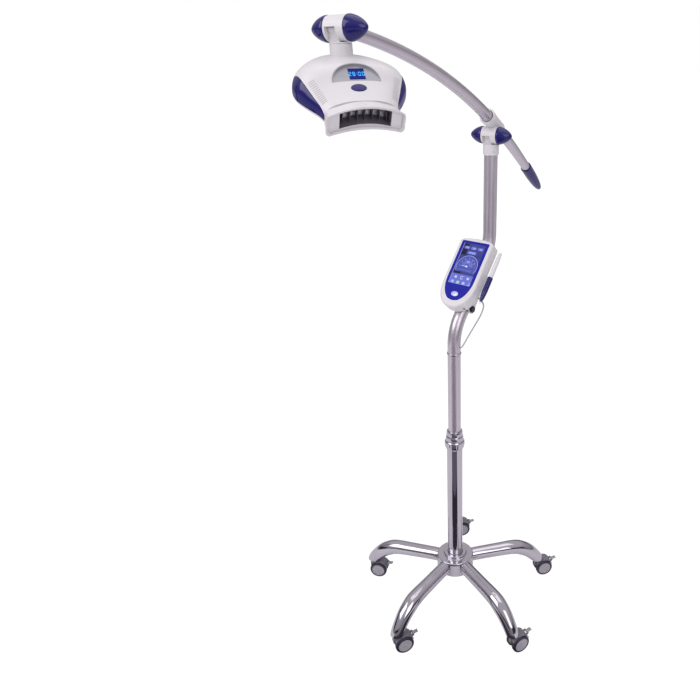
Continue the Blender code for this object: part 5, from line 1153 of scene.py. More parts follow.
def make_case():
    """The controller's shells, screws, bezel, glass and home key."""
    face = face_place()
    split = -CASE_FRONT_DEPTH
    outline = case_loop()
    front = plate("controller_front_shell", outline, split, 0.0, CASE_EDGE, 0.0005, face, 8)
    recess = sheet("seat", [bezel_loop(0.0001)], -0.0016, 0.01, face)
    window = block("window", (-SCREEN_WIDTH / 2 - GAP, SCREEN_BOTTOM - GAP, -0.006),
                   (SCREEN_WIDTH / 2 + GAP, SCREEN_TOP + GAP, 0.01), face)
    badge = plate("badge", oval(BADGE_WIDTH + 2 * GAP, BADGE_HEIGHT + 2 * GAP,
                                centre=(0, BADGE_PLACE)), -0.03, 0.03, place=face)
    cut(front, recess, window, badge)
    fit(front, "mast", "white", "front_shell")

    back_top = split - GAP
    low = back_top - CASE_BACK_DEPTH - BACK_SWELL
    floor = back_top - CASE_BACK_DEPTH
    left, right = -FACE_SIDE - BACK_MIDDLE_HALF, -FACE_SIDE + BACK_MIDDLE_HALF
    middle = clipped(clipped(outline, left - OVERRUN, 1), right + OVERRUN, -1)
    rear = plate("controller_rear_shell", middle, floor, back_top, BACK_EDGE, 0.003, face, 8)
    vents = [plate("vent", soft_box(0.030, 2 * SLOT_END, SLOT_END,
                                    (-FACE_SIDE, 0.050 + k * BACK_VENT_PITCH)),
                   floor - OVERRUN, floor + 0.0012, place=face) for k in range(BACK_VENTS)]
    cut(rear, *vents)
    flanks = [plate("flank", clipped(outline, edge, side), low, back_top, BACK_EDGE, CASE_EDGE,
                    face, 8)
              for edge, side in ((left, -1), (right, 1))]
    lip = plate("lip", case_loop(LIP_INSET), back_top - 0.0012, back_top + GAP * 2, 0.0, 0.0, face)
    screws = [revolved("screw", rounded([
        (0, 0.0006), (0.0024, 0.0006), (0.0026, 0.0), (0.0026, -0.001), (0, -0.001)], 0.0003, 2),
        turn_about((x, y, low - 0.0001), (math.pi, 0, 0), face), 32) for x, y in CASE_SCREWS]
    rear = join("controller_rear_shell_full", [rear, lip, *flanks])
    fit(rear, "mast", "white", "rear_shell")
    fit(join("controller_screws", screws), "mast", "aluminium")

    glass_hole = soft_box(SCREEN_WIDTH - 0.0002, SCREEN_TOP - SCREEN_BOTTOM - 0.0002, 0.0001,
                          (0, (SCREEN_TOP + SCREEN_BOTTOM) / 2))
    key_hole = oval(BADGE_WIDTH + 0.0004, BADGE_HEIGHT + 0.0004, 96, (0, BADGE_PLACE))
    cover = sheet("controller_bezel", [bezel_loop(0.0), glass_hole, key_hole], -0.0013, 0.0, face)
    fit(cover, "mast", "bezel_blue", "bezel")

    glass = block("controller_glass", (-SCREEN_WIDTH / 2, SCREEN_BOTTOM, -0.0034),
                  (SCREEN_WIDTH / 2, SCREEN_TOP, -0.0003), face, 0.0002)
    fit(glass, "mast", "screen", "touch_screen")
    carry("circuit_board", "board")

    key = plate("home_key_plated", oval(BADGE_WIDTH, BADGE_HEIGHT, 96), 0.0, 0.0105, 0.0009, 0.0003,
                turn_about((0, BADGE_PLACE, -0.0100), carrier=face), 6, crown=0.0006)
    fit(key, "home_key", "key", "home_button")


def seven_segments(text, height, thick):
    """Segments of simple digits, as (centre x, centre y, width, height)."""
    lit_by = {"0": "abcdef", "1": "bc", "2": "abged", "3": "abgcd", "4": "fgbc", "5": "afgcd",
              "6": "afgedc", "7": "abc", "8": "abcdefg", "9": "abcdfg"}
    width = height * 0.52
    pitch = width + thick * 2.2
    bars, x = [], 0.0
    for sign in text:
        if sign == ":":
            bars += [(x + thick, height * 0.3, thick, thick), (x + thick, height * 0.7, thick, thick)]
            x += thick * 3.2
            continue
        spots = {
            "a": (width / 2, height - thick / 2, width - thick, thick),
            "d": (width / 2, thick / 2, width - thick, thick),
            "g": (width / 2, height / 2, width - thick, thick),
            "f": (thick / 2, height * 0.75, thick, height / 2 - thick),
            "b": (width - thick / 2, height * 0.75, thick, height / 2 - thick),
            "e": (thick / 2, height * 0.25, thick, height / 2 - thick),
            "c": (width - thick / 2, height * 0.25, thick, height / 2 - thick),
        }
        bars += [(x + spots[s][0], *spots[s][1:]) for s in lit_by.get(sign, "")]
        x += pitch
    return bars, x - thick * 2.2


def digits(name, text, height, thick, centre, low, high, place, slant=0.0):
    """Digits of small bars, centred on a point of their plane."""
    bars, width = seven_segments(text, height, thick)
    made = []
    for x, y, w, h in bars:
        y0 = y - height / 2
        loop = [(px + centre[0] - width / 2 + slant * py, py + centre[1])
                for px, py in soft_box(w, h, thick * 0.2, (x, y0), 1)]
        made.append(plate(name, loop, low, high, place=place))
    return made


def arc_band(inner, outer, start, stop, centre, steps=40):
    """Outline of a curved band between two radii."""
    turns = spaced(start, stop, steps)
    return arc(outer, turns, centre) + arc(inner, turns[::-1], centre)


def make_screen():
    """What the touch screen shows: readouts, a dial and two rows of keys."""
    face = face_place()

    def flat(loop, level):
        low = GLASS_TOP + level * INK_LAYER
        return plate("ink", loop, low, low + INK_LAYER, place=face)

    def show(name, finish, items):
        fit(join(name, items), "mast", finish)

    def at(share):
        return (share - 0.5) * SCREEN_WIDTH

    def words(text, height, thick, centre):
        return digits("ink", text, height, thick, centre, 0.0, INK_LAYER, face)

    def readout(text, height, thick, centre):
        return digits("ink", text, height, thick, centre, -0.0001, 0.0, face, 0.15)

    shade = [soft_box(0.0150, 0.0300, 0.0020, (at(0.13), 0.0560)),
             soft_box(0.0200, 0.0080, 0.0020, (at(0.20), -0.0060))]
    show("screen_dark_corners", "panel_dark", [flat(loop, 1) for loop in shade])
    sector = arc(DIAL_RADIUS, spaced(DIAL_START, DIAL_END, 60), DIAL_CENTRE)
    show("screen_dial_field", "panel_deep", [flat(sector, 2)])
    keys = soft_box(SCREEN_WIDTH - 0.0012, 0.0258, 0.0015, (0.0, -0.0234))
    pills = [soft_box(0.0160, 0.0077, 0.0030, (at(u), READOUT_PLACE)) for u in READOUT_SHARES]
    pills.append(soft_box(0.0260, 0.0077, 0.0030, TIME_PLACE))
    pills.append(soft_box(0.0391, 0.0056, 0.0010, (at(0.485), 0.0007)))
    half = arc_band(0.0060, 0.0165, 0.0, math.pi, DIAL_CENTRE, 40)
    show("screen_fields", "panel_blue", [flat(keys, 2), flat(half, 3), *[flat(p, 2) for p in pills]])
    rims = [flat(arc_band(DIAL_RADIUS - 0.0013, DIAL_RADIUS, DIAL_START, DIAL_END, DIAL_CENTRE, 72), 3)]
    left, right, foot, head = -SCREEN_WIDTH / 2, SCREEN_WIDTH / 2, SCREEN_BOTTOM, SCREEN_TOP
    rims += [flat([(left, foot), (left + 0.0012, foot), (left + 0.0012, head), (left, head)], 4),
             flat([(left, foot), (right, foot), (right, foot + 0.0009), (left, foot + 0.0009)], 4)]
    show("screen_rims", "panel_light", rims)
    marks = []
    for k in range(31):
        a = math.pi * (1 - k / 30)
        long = 0.0022 if k % 5 == 0 else 0.0010
        marks.append(flat(arc_band(0.0230 - long, 0.0230, a - 0.009, a + 0.009, DIAL_CENTRE, 2), 4))
    for k, text in enumerate(("5", "10", "15", "20", "25")):
        a = math.pi * (1 - (k + 1) / 6)
        marks += words(text, 0.0022, 0.00036, arc(0.0192, [a], DIAL_CENTRE)[0])
    marks += words("00", 0.0042, 0.0007, (DIAL_CENTRE[0], 0.0240))
    marks += readout("20:00", 0.0044, 0.0007, TIME_PLACE)
    for u in READOUT_SHARES:
        marks += readout("100", 0.0040, 0.0006, (at(u), READOUT_PLACE))
    needle = [(DIAL_CENTRE[0] + x, DIAL_CENTRE[1] + y)
              for x, y in ((-0.0200, 0.0005), (-0.0200, 0.0002), (0.0020, -0.0008), (0.0020, 0.0010))]
    marks += [flat(needle, 5), flat(oval(0.0054, 0.0050, 40, DIAL_CENTRE), 6)]
    show("screen_marks", "ink", marks)
    limit = arc_band(0.0218, 0.0236, 0.0, math.radians(16), DIAL_CENTRE, 16)
    show("screen_limit_band", "red", [flat(limit, 5)])

    upper, lower = KEY_ROWS
    faces = [oval(0.0086, 0.0074, 40, (at(u), upper)) for u in (0.24, 0.80)]
    faces += [oval(0.0092, 0.0084, 40, (at(u), lower)) for u in (0.17, 0.68)]
    moon = arc(0.0040, [math.radians(-150 + 10 * k) for k in range(25)], (at(0.93), lower))
    moon += [(at(0.93) - 0.0016 + 0.0031 * math.cos(a), lower + 0.0012 + 0.0030 * math.sin(a))
             for a in [math.radians(80 - 10 * k) for k in range(23)]]
    show("screen_key_faces", "panel_light", [flat(loop, 4) for loop in faces + [moon]])
    show("screen_key_green", "green", [flat(oval(0.0090, 0.0084, 40, (at(0.42), lower)), 4)])
    icons = [arc_band(0.0030, 0.0044, a, a + 0.75, (at(0.52), upper), 8)
             for a in [math.radians(40) + 0.85 * k for k in range(6)]]
    icons += [oval(0.0013, 0.0013, 14, (at(0.42) + 0.0025 * math.cos(math.pi * k / 3),
                                        lower + 0.0023 * math.sin(math.pi * k / 3))) for k in range(6)]
    icons += [soft_box(0.0007, 0.0034, 0.0002, (at(0.17), lower + 0.0013)),
              soft_box(0.0026, 0.0007, 0.0002, (at(0.17) + 0.0011, lower)),
              [(at(0.68) - 0.0015, lower - 0.0020), (at(0.68) + 0.0024, lower),
               (at(0.68) - 0.0015, lower + 0.0020)],
              soft_box(0.0044, 0.0028, 0.0005, (at(0.24), upper)),
              oval(0.0040, 0.0040, 24, (at(0.80), upper))]
    show("screen_icons", "ink", [flat(loop, 5) for loop in icons])


def make_stylus():
    """The pen and the holder that it slides in."""
    face = face_place()
    x, z = CASE_WIDTH / 2 + STYLUS_SIDE, -STYLUS_DEPTH
    bore = STYLUS_RADIUS + GAP
    outer = bore + HOLDER_WALL
    half = HOLDER_LENGTH / 2
    reach = outer * 0.8
    holder = block("stylus_holder_moulded", (CASE_WIDTH / 2 + GAP, HOLDER_PLACE - half, z - reach),
                   (x, HOLDER_PLACE + half, z + reach), face, 0.0006)
    sleeve = rod("sleeve", outer, (x, HOLDER_PLACE - half, z), (x, HOLDER_PLACE + half, z), face, 64)
    cut(holder, sleeve, operation="UNION")
    cut(holder, rod("bore", bore, (x, HOLDER_PLACE - half - OVERRUN, z),
                    (x, HOLDER_PLACE + half + OVERRUN, z), face, 64))
    fit(holder, "mast", "white", "stylus_holder")

    place = turn_about((x, 0, z), (-math.pi / 2, 0, 0), face)
    length = STYLUS_TOP - STYLUS_TIP
    grip_top = HOLDER_PLACE - half - GAP
    shoulder = STYLUS_RADIUS * 1.20
    upper = rounded([
        (0, STYLUS_TOP), (STYLUS_RADIUS * 0.60, STYLUS_TOP - length * 0.004),
        (STYLUS_RADIUS * 0.80, STYLUS_TOP - length * 0.030),
        (STYLUS_RADIUS, STYLUS_TOP - length * 0.200), (STYLUS_RADIUS, grip_top + 0.0175),
        (STYLUS_RADIUS - 0.0003, grip_top + 0.0172), (STYLUS_RADIUS - 0.0003, grip_top + 0.0165),
        (STYLUS_RADIUS, grip_top + 0.0162), (STYLUS_RADIUS, grip_top - 0.0002),
        (0, grip_top - 0.0002)], 0.0009, 4)
    lower = rounded([
        (0, grip_top), (shoulder, grip_top), (shoulder, grip_top - length * 0.05),
        (shoulder, grip_top - length * 0.28), (STYLUS_RADIUS * 0.95, grip_top - length * 0.40),
        (STYLUS_RADIUS * 0.58, grip_top - length * 0.47), (0, grip_top - length * 0.47)], 0.0012, 5)
    tip = rounded([
        (0, grip_top - length * 0.46), (STYLUS_RADIUS * 0.40, grip_top - length * 0.46),
        (STYLUS_RADIUS * 0.30, STYLUS_TIP + length * 0.015), (0, STYLUS_TIP)], 0.0008, 4)
    fit(revolved("pen_grip_gloss", lower, place, 64), "pen", "blue", "stylus")
    fit(join("pen_barrel_white", [revolved("upper", upper, place, 64),
                                  revolved("tip", tip, place, 32)]), "pen", "white")


def make_bracket():
    """The clamp behind the case, round the mast, and its knob."""
    face = face_place()
    tube_at = -FACE_OFFSET
    case_back = -CASE_FRONT_DEPTH - GAP - CASE_BACK_DEPTH
    rear = tube_at - TUBE_RADIUS - BRACKET_BACK
    x = -FACE_SIDE
    clamp = block("mast_bracket_moulded", (x - BRACKET_HALF_WIDTH + 0.0015, BRACKET_BOTTOM + 0.005,
                                           rear),
                  (x + BRACKET_HALF_WIDTH - 0.0015, BRACKET_TOP, case_back - GAP - BACK_SWELL), face,
                  BRACKET_EDGE)
    boss = rod("boss", CLAMP_KNOB_RADIUS * 0.68, (x + TUBE_RADIUS - 0.002, CLAMP_KNOB_PLACE, tube_at),
               (x + BRACKET_HALF_WIDTH, CLAMP_KNOB_PLACE, tube_at), face, 40)
    cut(clamp, boss, operation="UNION")
    cut(clamp, rod("bore", TUBE_RADIUS + GAP, (x, BRACKET_BOTTOM - OVERRUN, tube_at),
                   (x, BRACKET_TOP + OVERRUN, tube_at), face, 96),
        rod("screw_hole", CLAMP_SCREW_RADIUS + GAP, (x, CLAMP_KNOB_PLACE, tube_at),
            (x + BRACKET_HALF_WIDTH + OVERRUN, CLAMP_KNOB_PLACE, tube_at), face, 32))
    fit(clamp, "mast", "white", "mast_bracket")

    head = x + BRACKET_HALF_WIDTH + GAP
    profile = rounded([
        (0, head + CLAMP_KNOB_LENGTH), (CLAMP_KNOB_RADIUS - 0.0014, head + CLAMP_KNOB_LENGTH),
        (CLAMP_KNOB_RADIUS, head + CLAMP_KNOB_LENGTH - 0.0014), (CLAMP_KNOB_RADIUS, head + 0.0022),
        (CLAMP_KNOB_RADIUS * 0.72, head + 0.0010), (CLAMP_KNOB_RADIUS * 0.72, head),
        (CLAMP_SCREW_RADIUS, head), (CLAMP_SCREW_RADIUS, x + TUBE_RADIUS + 2 * GAP),
        (0, x + TUBE_RADIUS + 2 * GAP)],
        0.0008, 4)

    def lobes(a, radius, height):
        """Finger grooves round the knob."""
        if radius > CLAMP_KNOB_RADIUS * 0.9:
            return -CLAMP_LOBE_DEPTH * (0.5 + 0.5 * math.cos(CLAMP_LOBES * a)) ** 2
        return 0

    place = turn_about((0, CLAMP_KNOB_PLACE, tube_at), (0, math.pi / 2, 0), face)
    fit(revolved("bracket_knob_moulded", profile, place, 96, ripple=lobes), "bracket_screw", "navy",
        "bracket_knob")


def make_cord():
    """The controller's free cord, from its back to the side of the mast."""
    route = smooth_path(CABLE_ROUTE, 6)
    data = bpy.data.curves.new("controller_cord", "CURVE")
    data.dimensions = "3D"
    data.bevel_depth = CABLE_RADIUS
    data.bevel_resolution = 6
    data.use_fill_caps = True
    spline = data.splines.new("POLY")
    spline.points.add(len(route) - 1)
    for i, point in enumerate(route):
        spline.points[i].co = (*point, 1)
    spline.use_smooth = True
    obj = bpy.data.objects.new("controller_cord", data)
    bpy.context.scene.collection.objects.link(obj)
    fit(obj, "mast", "cable", "signal_cable")


# Pivots and arm


def make_caps(place, label, left, right):
    """The pointed pair that closes a pivot. The right one carries the bolt."""
    base = BARREL_LENGTH / 2 + GAP
    outline = [(KNOB_RADIUS * r, KNOB_LENGTH * z) for r, z in KNOB_SHARES]
    path = [(max(r, 0.0), z) for r, z in smooth_flat(outline, 6)]
    path[0] = (0.0, KNOB_LENGTH)
    bolt = -(BARREL_LENGTH + 2 * GAP) - 0.0114
    pair = (("right", 1, right, BOLT_RADIUS, bolt), ("left", -1, left, BOLT_HOLE, 0.012))
    for word, side, body, radius, end in pair:
        tail = [(radius, 0), (radius, end), (0, end)]
        at = turn_about((side * base, 0, 0), (0, side * math.pi / 2, 0), place)
        cap = revolved(f"{label}_cap_{word}_gloss", path + tail, at, 96)
        fit(cap, body, "blue", f"{label}_knob_{word}")


def barrel(name, place):
    """The plain barrel of a pivot, along its axis."""
    half = BARREL_LENGTH / 2
    return revolved(name, rounded([
        (0, half), (BARREL_RADIUS, half), (BARREL_RADIUS, -half), (0, -half)], 0.0009, 4),
        turn_about(turn=(0, math.pi / 2, 0), carrier=place), 96)


def slot_tools(place):
    """Bolt hole and the slot that leaves the lower half to the tongue."""
    low, high = SLOT_SIDE - SLOT_WIDTH / 2, SLOT_SIDE + SLOT_WIDTH / 2
    deep = BARREL_RADIUS + OVERRUN
    return [
        rod("bolt_hole", BOLT_HOLE, (-BARREL_LENGTH, 0, 0), (BARREL_LENGTH, 0, 0), place, 32),
        rod("nose", TONGUE_RADIUS + 2 * GAP, (low, 0, 0), (high, 0, 0), place, 64),
        block("mouth", (low, -deep, -deep), (high, deep, 0.0), place),
    ]


def tongue(obj, place, foot):
    """Adds the flat tongue that turns on the bolt."""
    low = SLOT_SIDE - SLOT_WIDTH / 2 + GAP
    high = SLOT_SIDE + SLOT_WIDTH / 2 - GAP
    nose = rod("nose", TONGUE_RADIUS, (low, 0, 0), (high, 0, 0), place, 64)
    body = block("body", (low, -TONGUE_HALF, -foot), (high, TONGUE_HALF, 0.0), place)
    cut(obj, nose, body, operation="UNION")
    cut(obj, rod("hole", BOLT_HOLE, (low - OVERRUN, 0, 0), (high + OVERRUN, 0, 0), place, 32))


def set_screw_hole(hole, around, depth, height, angle, place):
    """Cutter for a blind hole in the side of a round post."""
    return rod("set_screw_hole", hole, (around - depth, 0, height), (around + 0.002, 0, height),
               turn_about(turn=(0, 0, math.radians(angle)), carrier=place), 24)


def make_mast_joint():
    pivot = pivot_place()
    top, bottom = -BARREL_RADIUS - GAP, -POST_LENGTH
    bore, bore_top = TUBE_RADIUS + GAP, MAST_TOP + GAP - PIVOT_HEIGHT
    groove = bottom + POST_GROOVE
    post = revolved("mast_collar_moulded", rounded([
        (0, top), (POST_RADIUS - POST_EDGE, top), (POST_RADIUS, top - POST_EDGE),
        (POST_RADIUS, groove + 0.0008), (POST_RADIUS - 0.0004, groove + 0.0004),
        (POST_RADIUS - 0.0004, groove - 0.0004), (POST_RADIUS, groove - 0.0008),
        (POST_RADIUS, bottom + POST_EDGE), (POST_RADIUS - POST_EDGE, bottom), (bore, bottom),
        (bore, bore_top), (0, bore_top)], 0.0007, 3), pivot, 96)
    tongue(post, pivot, -top + POST_EDGE)
    cut(post, set_screw_hole(0.0018, POST_RADIUS, 0.0016, bottom + 0.008, -40, pivot))
    fit(post, "mast_head", "white", "mast_collar")

    clamp = barrel("arm_clamp_moulded", pivot)
    outer = ARM_RADIUS + SLEEVE_PLAY + SLEEVE_WALL
    half = SLEEVE_LENGTH / 2
    sleeve_at = turn_about(turn=(-math.pi / 2, 0, 0), carrier=sleeve_place())
    sleeve = revolved("sleeve", rounded([
        (0, -half - SLEEVE_LEAD), (outer + SLEEVE_FLARE, -half - SLEEVE_LEAD),
        (outer, -half * 0.55), (outer, half - SLEEVE_WALL), (outer - SLEEVE_WALL / 2, half),
        (0, half)], 0.001, 3), sleeve_at, 80)
    cut(clamp, sleeve, operation="UNION")
    cut(clamp, rod("bore", ARM_RADIUS + SLEEVE_PLAY, (0, -half - SLEEVE_LEAD - OVERRUN, 0),
                   (0, half + OVERRUN, 0), sleeve_place(), 80), *slot_tools(pivot))
    fit(clamp, "arm", "white", "arm_clamp")
    make_caps(pivot, "mast", "mast_cap_left", "mast_cap_right")


def make_arm():
    place = arm_place()
    start, last = ARM_REACH - NECK_STUB - 2 * GAP, -ARM_TAIL
    points, radii = [], []
    for reach in spaced(start, last, 90):
        points.append(arm_point(reach))
        if reach > 0:
            radii.append(ARM_RADIUS + (ARM_HEAD_RADIUS - ARM_RADIUS) * reach / start)
        else:
            radii.append(ARM_RADIUS - (ARM_RADIUS - ARM_TAIL_RADIUS) * -reach / ARM_TAIL)
    fit(swept("arm_tube_anodised", points, radii, place, 96, ARM_WALL), "arm", "silver", "arm_tube")
    cup = [(0, -GAP), (ARM_TAIL_RADIUS + 2 * GAP, -GAP), (ARM_TAIL_RADIUS + 2 * GAP, ARM_TIP_CUP),
           (ARM_TIP_RADIUS, ARM_TIP_CUP)]
    side = [(ARM_TIP_RADIUS, ARM_TIP_CUP)]
    side += [(ARM_TIP_RADIUS * r, -ARM_TIP_LENGTH * z) for r, z in ARM_TIP_SHARES]
    side.append((0, -ARM_TIP_LENGTH))
    profile = rounded(cup, 0.0004, 2)[:-1] + [(max(r, 0.0), z) for r, z in smooth_flat(side, 6)]
    at = turn_about(arm_point(-ARM_TAIL), (math.pi / 2 - ARM_TAIL / ARM_TAIL_BEND, 0, 0), place)
    fit(revolved("arm_tip_gloss", profile, at, 96), "arm", "blue", "arm_tip")


def make_head_joint():
    joint, neck = joint_place(), neck_place()
    shell = barrel("head_barrel_moulded", joint)
    stub = rod("stub", ARM_HEAD_RADIUS, (0, 0, 0), (0, NECK_STUB, 0), joint, 64)
    spigot = rod("spigot", ARM_HEAD_RADIUS - ARM_WALL - 0.0012, (0, 0, 0),
                 (0, NECK_STUB + 0.02, 0), joint, 48)
    cut(shell, stub, spigot, operation="UNION")
    cut(shell, *slot_tools(joint))
    fit(shell, "arm", "white", "head_barrel")
    make_caps(joint, "head", "head_cap_left", "head_cap_right")

    seam = -NECK_SEAM
    yoke = revolved("neck_yoke_moulded", rounded([
        (0, -NECK_TOP), (NECK_RADIUS - POST_EDGE, -NECK_TOP), (NECK_RADIUS, -NECK_TOP - POST_EDGE),
        (NECK_RADIUS, seam), (NECK_PIN_RADIUS, seam), (NECK_PIN_RADIUS, seam - NECK_PIN_LENGTH),
        (0, seam - NECK_PIN_LENGTH)], 0.0004, 3),
        neck, 96)
    tongue(yoke, neck, NECK_TOP + POST_EDGE)
    fit(yoke, "neck", "white", "neck_yoke")


# Head


def head_length():
    return HEAD_BACK + HEAD_FRONT


# Finer copies of the tables, on smooth curves through them
CROWN_FINE = smooth_flat(CROWN_SHARES, 8)
PANEL_FINE = smooth_flat(PANEL_SHARES, 8)


def read_shares(table, share):
    """The value of a table at a share, on the straight line between two rows."""
    for (low, start), (high, stop) in zip(table, table[1:]):
        if share <= high:
            return start + (stop - start) * (share - low) / max(high - low, TINY)
    return table[-1][1]


def head_height(share):
    return HEAD_HEIGHT * read_shares(CROWN_FINE, share)


def head_outline(steps):
    """Half width and share of the length at even steps along the head's outline."""
    path = smooth_path([(s, h, 0) for s, h in HEAD_SHARES], 12)
    lengths = [0.0]
    for start, stop in zip(path, path[1:]):
        lengths.append(lengths[-1] + (stop - start).length)
    made = []
    for k in range(steps + 1):
        target = lengths[-1] * k / steps
        j = max(1, next((i for i in range(len(path)) if lengths[i] >= target - TINY),
                        len(path) - 1))
        part = (target - lengths[j - 1]) / (lengths[j] - lengths[j - 1])
        spot = path[j - 1].lerp(path[j], part)
        made.append((max(spot.y, 0.0), min(max(spot.x, 0.0), 1.0)))
    return made


def head_point(half, share, side, rise, inset, height_of):
    """A place on the head's skin, by its share of the length and its rise, 0 to 1."""
    turn = rise * math.pi / 2
    level = max(math.cos(turn), 0.0) ** (2 / HEAD_POWER)
    up = math.sin(turn) ** (2 / HEAD_POWER)
    spine = max(share, HEAD_SPINE_START)
    along = share + (spine - share) * (1 - level)
    back = inset * max(HEAD_SPINE_START - along, 0) / HEAD_SPINE_START
    return Vector((side * half * level * (HEAD_WIDTH / 2 - inset),
                   HEAD_BACK - back - along * head_length(), (height_of(along) - inset) * up))


def panel_edge(share):
    """How high the coloured side panel reaches, as a rise."""
    return 0.0 if share <= PANEL_START else max(read_shares(PANEL_FINE, share), 0.0)


def head_columns(low_edge, high_edge, height_of, rows, keep, steps=64, wall=HEAD_WALL):
    """Columns of outer and inner points round the head, between two edges."""
    half = head_outline(steps)
    ring = [(w, s, -1) for w, s in reversed(half)] + [(w, s, 1) for w, s in half[1:]]
    columns = []
    for width, share, side in ring:
        if not keep(share, side):
            continue
        low, high = low_edge(share), high_edge(share)
        rises = spaced(low, high, rows)
        columns.append([[head_point(width, share, side, r, inset, height_of) for r in rises]
                        for inset in (0.0, wall)])
    return columns


def grid_shell(bm, columns, top_rim):
    """A skin from columns of outer and inner points, closed at its rims."""
    outer = [[bm.verts.new(p) for p in column[0]] for column in columns]
    inner = [[bm.verts.new(p) for p in column[1]] for column in columns]
    rows = len(outer[0])
    for i in range(len(columns) - 1):
        for k in range(rows - 1):
            bm.faces.new((outer[i][k], outer[i + 1][k], outer[i + 1][k + 1], outer[i][k + 1]))
            bm.faces.new((inner[i][k], inner[i][k + 1], inner[i + 1][k + 1], inner[i + 1][k]))
        bm.faces.new((outer[i][0], inner[i][0], inner[i + 1][0], outer[i + 1][0]))
        if top_rim:
            bm.faces.new((outer[i][-1], outer[i + 1][-1], inner[i + 1][-1], inner[i][-1]))
    for i in (0, len(columns) - 1):
        for k in range(rows - 1):
            bm.faces.new((outer[i][k], outer[i][k + 1], inner[i][k + 1], inner[i][k]))


def side_spot(share, side, rise, step=0.01):
    """A place on the dome, the way forward along it and its outward direction."""
    half, next_half = [read_shares(HEAD_SHARES, s) for s in (share, share + step)]
    here = head_point(half, share, side, rise, 0.0, head_height)
    ahead = head_point(next_half, share + step, side, rise, 0.0, head_height)
    above = head_point(half, share, side, rise + step, 0.0, head_height)
    normal = (ahead - here).cross(above - here).normalized()
    return here, (ahead - here).normalized(), -normal if normal.z < 0 else normal


def dome_strip(share, side, rise, length, place):
    """A narrow dark line up the dome, sunk into it and just proud of it."""
    step, half, sunk, proud = 0.01, 0.00045, -0.0006, 0.00022
    bm = bmesh.new()
    rows = []
    here, reach = rise, 0.0
    while reach < length:
        spot, ahead, normal = side_spot(share, side, here)
        rows.append([bm.verts.new(spot + ahead * across + normal * lift) for across, lift in (
            (-half, sunk), (half, sunk), (half, proud), (-half, proud))])
        after = side_spot(share, side, here + step)[0]
        reach += (after - spot).length
        here += step
    skin(bm, rows)
    bm.faces.new(rows[0])
    bm.faces.new(rows[-1])
    return object_of("vent", bm, place)


def window_place(head):
    """Middle of the timer window's foot: X right, Y up the pane, Z out of it."""
    return turn_about((0, -WINDOW_PLACE, WINDOW_BASE), (WINDOW_TILT, 0, 0), head)


def plug_oval(width):
    """Outline of the oval plug, or of its groove, wider than it is deep."""
    return [(x * 1.35, y * 0.8) for x, y in oval(width, width, 48)]


def make_upper_shell():
    head, base = head_place(), split_place()
    bm = bmesh.new()
    columns = head_columns(panel_edge, lambda s: 1.0, head_height, 26, lambda s, side: True)
    grid_shell(bm, columns, False)
    shell = object_of("head_upper_shell_moulded", bm, base, 40)
    settings = bpy.context.scene.lamp_head
    strips = []
    # Painted shade: grey strips on each flank stand for the shade inside the vent slots, which are not
    # cut
    for side in (-1, 1):
        for k in range(settings.vents):
            share = FLANK_VENT_START + FLANK_VENT_SPAN * k / (settings.vents - 1)
            strips.append(dome_strip(share, side, panel_edge(share) + FLANK_VENT_RISE,
                                     settings.vent_length, base))
    fit(join("head_vent_painted_shade", strips), "head", "vent")
    neck = rod("neck_hole", NECK_RADIUS + GAP, (0, 0, -0.042), (0, 0, 0.012), swivel_place(), 96)
    arch = [(WINDOW_WIDTH / 2 * 1.008 * math.cos(math.pi * k / 48),
             (WINDOW_HEIGHT + GAP) * math.sin(math.pi * k / 48) - (GAP if k in (0, 48) else 0))
            for k in range(49)]
    window = plate("window_hole", arch, -0.0027, 0.0293, place=window_place(head))
    key = plate("button_hole", oval(BUTTON_WIDTH + 2 * GAP, BUTTON_DEPTH + 2 * GAP, 72),
                -0.016, 0.016, place=button_place(head))
    groove = plate("plug_groove", plug_oval(PLUG_SIZE + 0.0008), -0.0003, 0.004,
                   place=dimple_place(head))
    cut(shell, neck, window, key, groove, crease=40)
    fit(shell, "head", "white", "head_upper_shell")


def dimple_place(head):
    """Where a flat oval plug sits in the crown in front of the neck."""
    share, step = PLUG_SHARE, 0.02
    z = HEAD_SPLIT + head_height(share)
    slope = (head_height(share + step) - head_height(share - step)) / (2 * step * head_length())
    return turn_about((0, HEAD_BACK - share * head_length(), z), (-math.atan(slope), 0, 0), head)


def button_place(head):
    """Middle of the start key on the crown."""
    share = (HEAD_BACK + BUTTON_PLACE) / head_length()
    return turn_about((0, -BUTTON_PLACE, HEAD_SPLIT + head_height(share)), (BUTTON_TILT, 0, 0), head)


def make_side_panels():
    gap = 2 * GAP / head_height(PANEL_SHARES[4][0])
    bm = bmesh.new()
    for wanted in (-1, 1):
        columns = head_columns(
            lambda s: 0.0, lambda s: max(panel_edge(s) - 0.7 * gap, gap), head_height, 14,
            lambda s, side: side == wanted and panel_edge(s) > 4 * gap)
        grid_shell(bm, columns, True)
    panels = object_of("head_side_panels_gloss", bm, split_place(), 40)
    fit(panels, "head", "blue", "side_panels")


